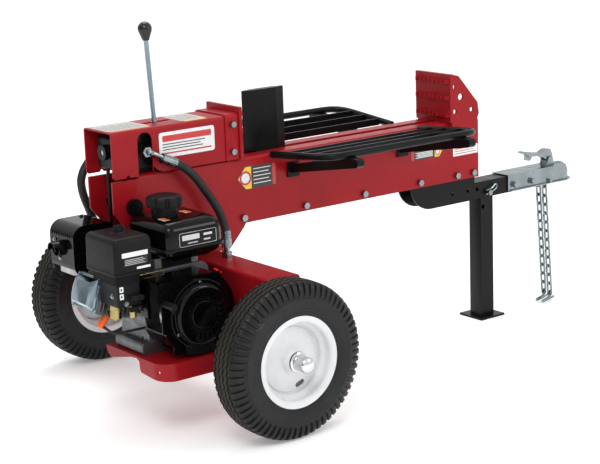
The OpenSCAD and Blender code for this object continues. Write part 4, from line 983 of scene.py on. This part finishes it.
# node: (body, slot, edge radius in millimetres)
SOFTENED = {
    "beam_near": (ROOT, "red_paint", 1.6), "beam_far": (ROOT, "red_paint", 1.6),
    "fixed_plate": (ROOT, "red_paint", 1.2), "rear_plate": (ROOT, "red_paint", 1.4),
    "valve_housing": (ROOT, "red_paint", 1.6), "pedestal": (ROOT, "red_paint", 1.2),
    "oil_tank": (ROOT, "red_paint", 2.4), "engine_tray": (ROOT, "red_paint", 1.2),
    "tow_bar": (ROOT, "black_paint", 1.4), "cradle_near": (ROOT, "black_paint", 0.8),
    "cradle_far": (ROOT, "black_paint", 0.8), "cylinder_barrel": (ROOT, "black_paint", 1.2),
    "cylinder_pin": (ROOT, "black_paint", 0.8), "valve_body": (ROOT, "black_paint", 1.4),
    "jack_leg": ("leg", "black_paint", 1.6), "wedge": ("ram", "black_paint", 1.4),
    "frame_bolts": (ROOT, "zinc_plate", 0.6), "hydraulic_fittings": (ROOT, "zinc_plate", 0.6),
    "coupler_body": (ROOT, "zinc_plate", 1.4), "hitch_pin": (ROOT, "zinc_plate", 0.3),
    "valve_cover": (ROOT, "zinc_plate", 2.2), "lever_rod": ("lever", "zinc_plate", 0.6),
    "latch_lever": ("latch", "zinc_plate", 0.8), "ball_clamp": ("clamp", "zinc_plate", 0.6),
    "chain_near": ("chain_left", "zinc_plate", 0.2), "chain_far": ("chain_right", "zinc_plate", 0.2),
    "axle": (ROOT, "machined_steel", 0.8), "cylinder_gland": (ROOT, "machined_steel", 0.8),
    "muffler": (ROOT, "machined_steel", 1.2), "piston_rod": ("ram", "machined_steel", 0.8),
    "valve_spool": ("spool", "machined_steel", 0.4), "crankshaft": ("crank", "machined_steel", 0.6),
    "fan_shroud": (ROOT, "engine_black", 1.8), "muffler_guard": (ROOT, "engine_black", 0.5),
    "tank_breather": (ROOT, "black_plastic", 0.8), "starter_grip": ("grip", "black_plastic", 1.0),
    "choke_lever": ("choke", "black_plastic", 0.6), "fuel_lever": ("fuel_valve", "black_plastic", 0.6),
    "lever_knob": ("lever", "knob_plastic", 0.6), "spark_plug": (ROOT, "plug_rubber", 0.6),
    "engine_switch": ("switch", "switch_red", 0.6), "crankcase": (ROOT, "cast_alloy", 2.0),
    "cylinder_head": (ROOT, "cast_alloy", 0.9), "bell_housing": (ROOT, "cast_alloy", 1.4),
    "hydraulic_pump": (ROOT, "cast_alloy", 1.4), "carburettor": (ROOT, "cast_alloy", 0.6),
}
# the links look heavier than the CAD's, which keep running clearance between them
CHAIN_SWELL = 0.7
# nodes whose finish differs from their slot's
SPECIAL_FINISH = {
    "carburettor": "yellow_zinc", "valve_cover": "zinc_bright", "lever_rod": "zinc_bright",
}
# nodes that have a piece of their own making: slot
REBUILT = {
    "tyre_near": "tyre_rubber", "tyre_far": "tyre_rubber", "rim_near": "rim_paint",
    "rim_far": "rim_paint", "hub_near": "chrome_plate", "hub_far": "chrome_plate",
    "return_hose": "hose_rubber", "pressure_hose": "hose_rubber", "suction_hose": "hose_rubber",
    "air_cleaner": "black_plastic", "air_cleaner_cover": "black_plastic",
    "fuel_tank": "engine_black", "fuel_cap": "black_plastic", "recoil_cover": "engine_black",
}


def repaint(obj, material, chosen):
    """Gives a second finish to the faces whose middle passes a test."""
    obj.data.materials.append(MATERIALS[material])
    for face in obj.data.polygons:
        if chosen(face.center):
            face.material_index = 1


# the steel pipe inside the beam is black, and the plug's lead starts at a plane behind its boot
INNER_PIPE_HALF_W = 9
PLUG_LEAD_Y = on_engine(0, -103, 0).y


def make_pieces():
    for node, (body, slot_name, width) in SOFTENED.items():
        swell = CHAIN_SWELL if node.startswith("chain_") else 0.0
        piece = softened(node, body, slot_name, width, SPECIAL_FINISH.get(node), swell)
        if node == "hydraulic_fittings":
            repaint(piece, "black_paint", lambda spot: abs(spot.y) < INNER_PIPE_HALF_W * MM)
        if node == "spark_plug":
            repaint(piece, "hose_rubber", lambda spot: spot.y < PLUG_LEAD_Y)
    for side in SIDE_SIGN:
        make_tyre(side)
        make_rim(side)
        make_hub(side)
    make_hose("return_hose", RETURN_ROUTE, HOSE_R)
    make_hose("pressure_hose", PRESSURE_ROUTE, HOSE_R)
    make_hose("suction_hose", SUCTION_ROUTE, SUCTION_HOSE_R)
    for name, route in (("return", RETURN_ROUTE), ("pressure", PRESSURE_ROUTE)):
        ferrule(name + "_top_ferrule", route, HOSE_R)
        ferrule(name + "_low_ferrule", route[::-1], HOSE_R)
    make_fuel_tank()
    make_fuel_cap()
    make_recoil()
    make_air_cleaner()
    make_cover()
    make_guard_screws()
    make_stickers()


def paint_cad_nodes():
    """Gives every CAD node the finish of its material slot."""
    slots = {node: slot_name for node, (body, slot_name, width) in SOFTENED.items()}
    slots.update(REBUILT)
    slots.update(SPECIAL_FINISH)
    for name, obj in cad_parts.items():
        obj.data.materials.clear()
        obj.data.materials.append(MATERIALS[slots[name]])


# ---------------------------------------------------------------- stage

# the sky is white on the hitch's side and overhead, and fades towards the engine's end
SKY_LEAN = (0.75, -0.15, 0.64)
SKY_STRENGTH = 0.95
SKY_DIM = 0.3
DIM_BELOW = -0.7
WHITE_ABOVE = 0.05


def make_stage():
    """A plain pale floor under a soft sky."""
    bpy.ops.mesh.primitive_plane_add(size=40, location=(0, 0, -0.5 * MM))
    floor = bpy.context.active_object
    floor.name = "floor"
    s = Surface("floor_paper", 0.9, specular=0.1)
    s.colour(s.mix(s.ramp(s.noise(3.0), 0.3, 0.7), srgb(250, 250, 250), srgb(255, 255, 255)))
    s.bsdf.inputs["Emission Color"].default_value = (1, 1, 1, 1)
    s.bsdf.inputs["Emission Strength"].default_value = 0.2
    floor.data.materials.append(s.mat)
    world = bpy.data.worlds.new("studio")
    bpy.context.scene.world = world
    world.use_nodes = True
    tree = world.node_tree
    back = tree.nodes["Background"]
    back.inputs["Strength"].default_value = SKY_STRENGTH
    ray = tree.nodes.new("ShaderNodeTexCoord").outputs["Generated"]
    lean = tree.nodes.new("ShaderNodeVectorMath")
    lean.operation = "DOT_PRODUCT"
    lean.inputs[1].default_value = SKY_LEAN
    tree.links.new(ray, lean.inputs[0])
    fade = tree.nodes.new("ShaderNodeMapRange")
    fade.interpolation_type = "SMOOTHSTEP"
    fade.inputs["From Min"].default_value = DIM_BELOW
    fade.inputs["From Max"].default_value = WHITE_ABOVE
    fade.inputs["To Min"].default_value = SKY_DIM
    tree.links.new(lean.outputs["Value"], fade.inputs["Value"])
    tree.links.new(fade.outputs["Result"], back.inputs["Color"])


# name, place, what it points at, size, watts
LIGHTS = (
    ("key", (-2.6, -2.2, 3.4), (0, 0, 0.4), (1.4, 1.4), 52),
    ("fill", (1.8, -3.6, 2.2), (0.2, 0, 0.5), (1.2, 1.2), 22),
    ("top", (0.2, 1.0, 3.6), (0, 0, 0.5), (2.0, 1.4), 38),
)


def area_light(name, place, target, size, power):
    light = bpy.data.lights.new(name, "AREA")
    light.shape = "RECTANGLE"
    light.size = size[0]
    light.size_y = size[1]
    light.energy = power
    obj = bpy.data.objects.new(name, light)
    obj.location = place
    obj.rotation_euler = (Vector(target) - Vector(place)).to_track_quat("-Z", "Y").to_euler()
    bpy.context.scene.collection.objects.link(obj)


# the camera that took the photograph, as fitted to its wheels and beam
CAMERA_PLACE = (-2.905968, -3.64998, 1.45679)
CAMERA_FORWARD = (0.5875, 0.7763, -0.2285)
CAMERA_ROLL = math.radians(-2.02)
LENS_MM = 100.36
SENSOR_MM = 36


def make_camera():
    camera = bpy.data.cameras.new("camera")
    camera.lens = LENS_MM
    camera.sensor_width = SENSOR_MM
    obj = bpy.data.objects.new("camera", camera)
    obj.location = CAMERA_PLACE
    look = Vector(CAMERA_FORWARD).normalized().to_track_quat("-Z", "Y")
    obj.rotation_mode = "QUATERNION"
    obj.rotation_quaternion = look @ Quaternion((0, 0, 1), CAMERA_ROLL)
    bpy.context.scene.collection.objects.link(obj)
    bpy.context.scene.camera = obj


paint_cad_nodes()
make_pieces()
make_stage()
for light in LIGHTS:
    area_light(*light)
make_camera()
bpy.context.scene.view_settings.view_transform = "Standard"
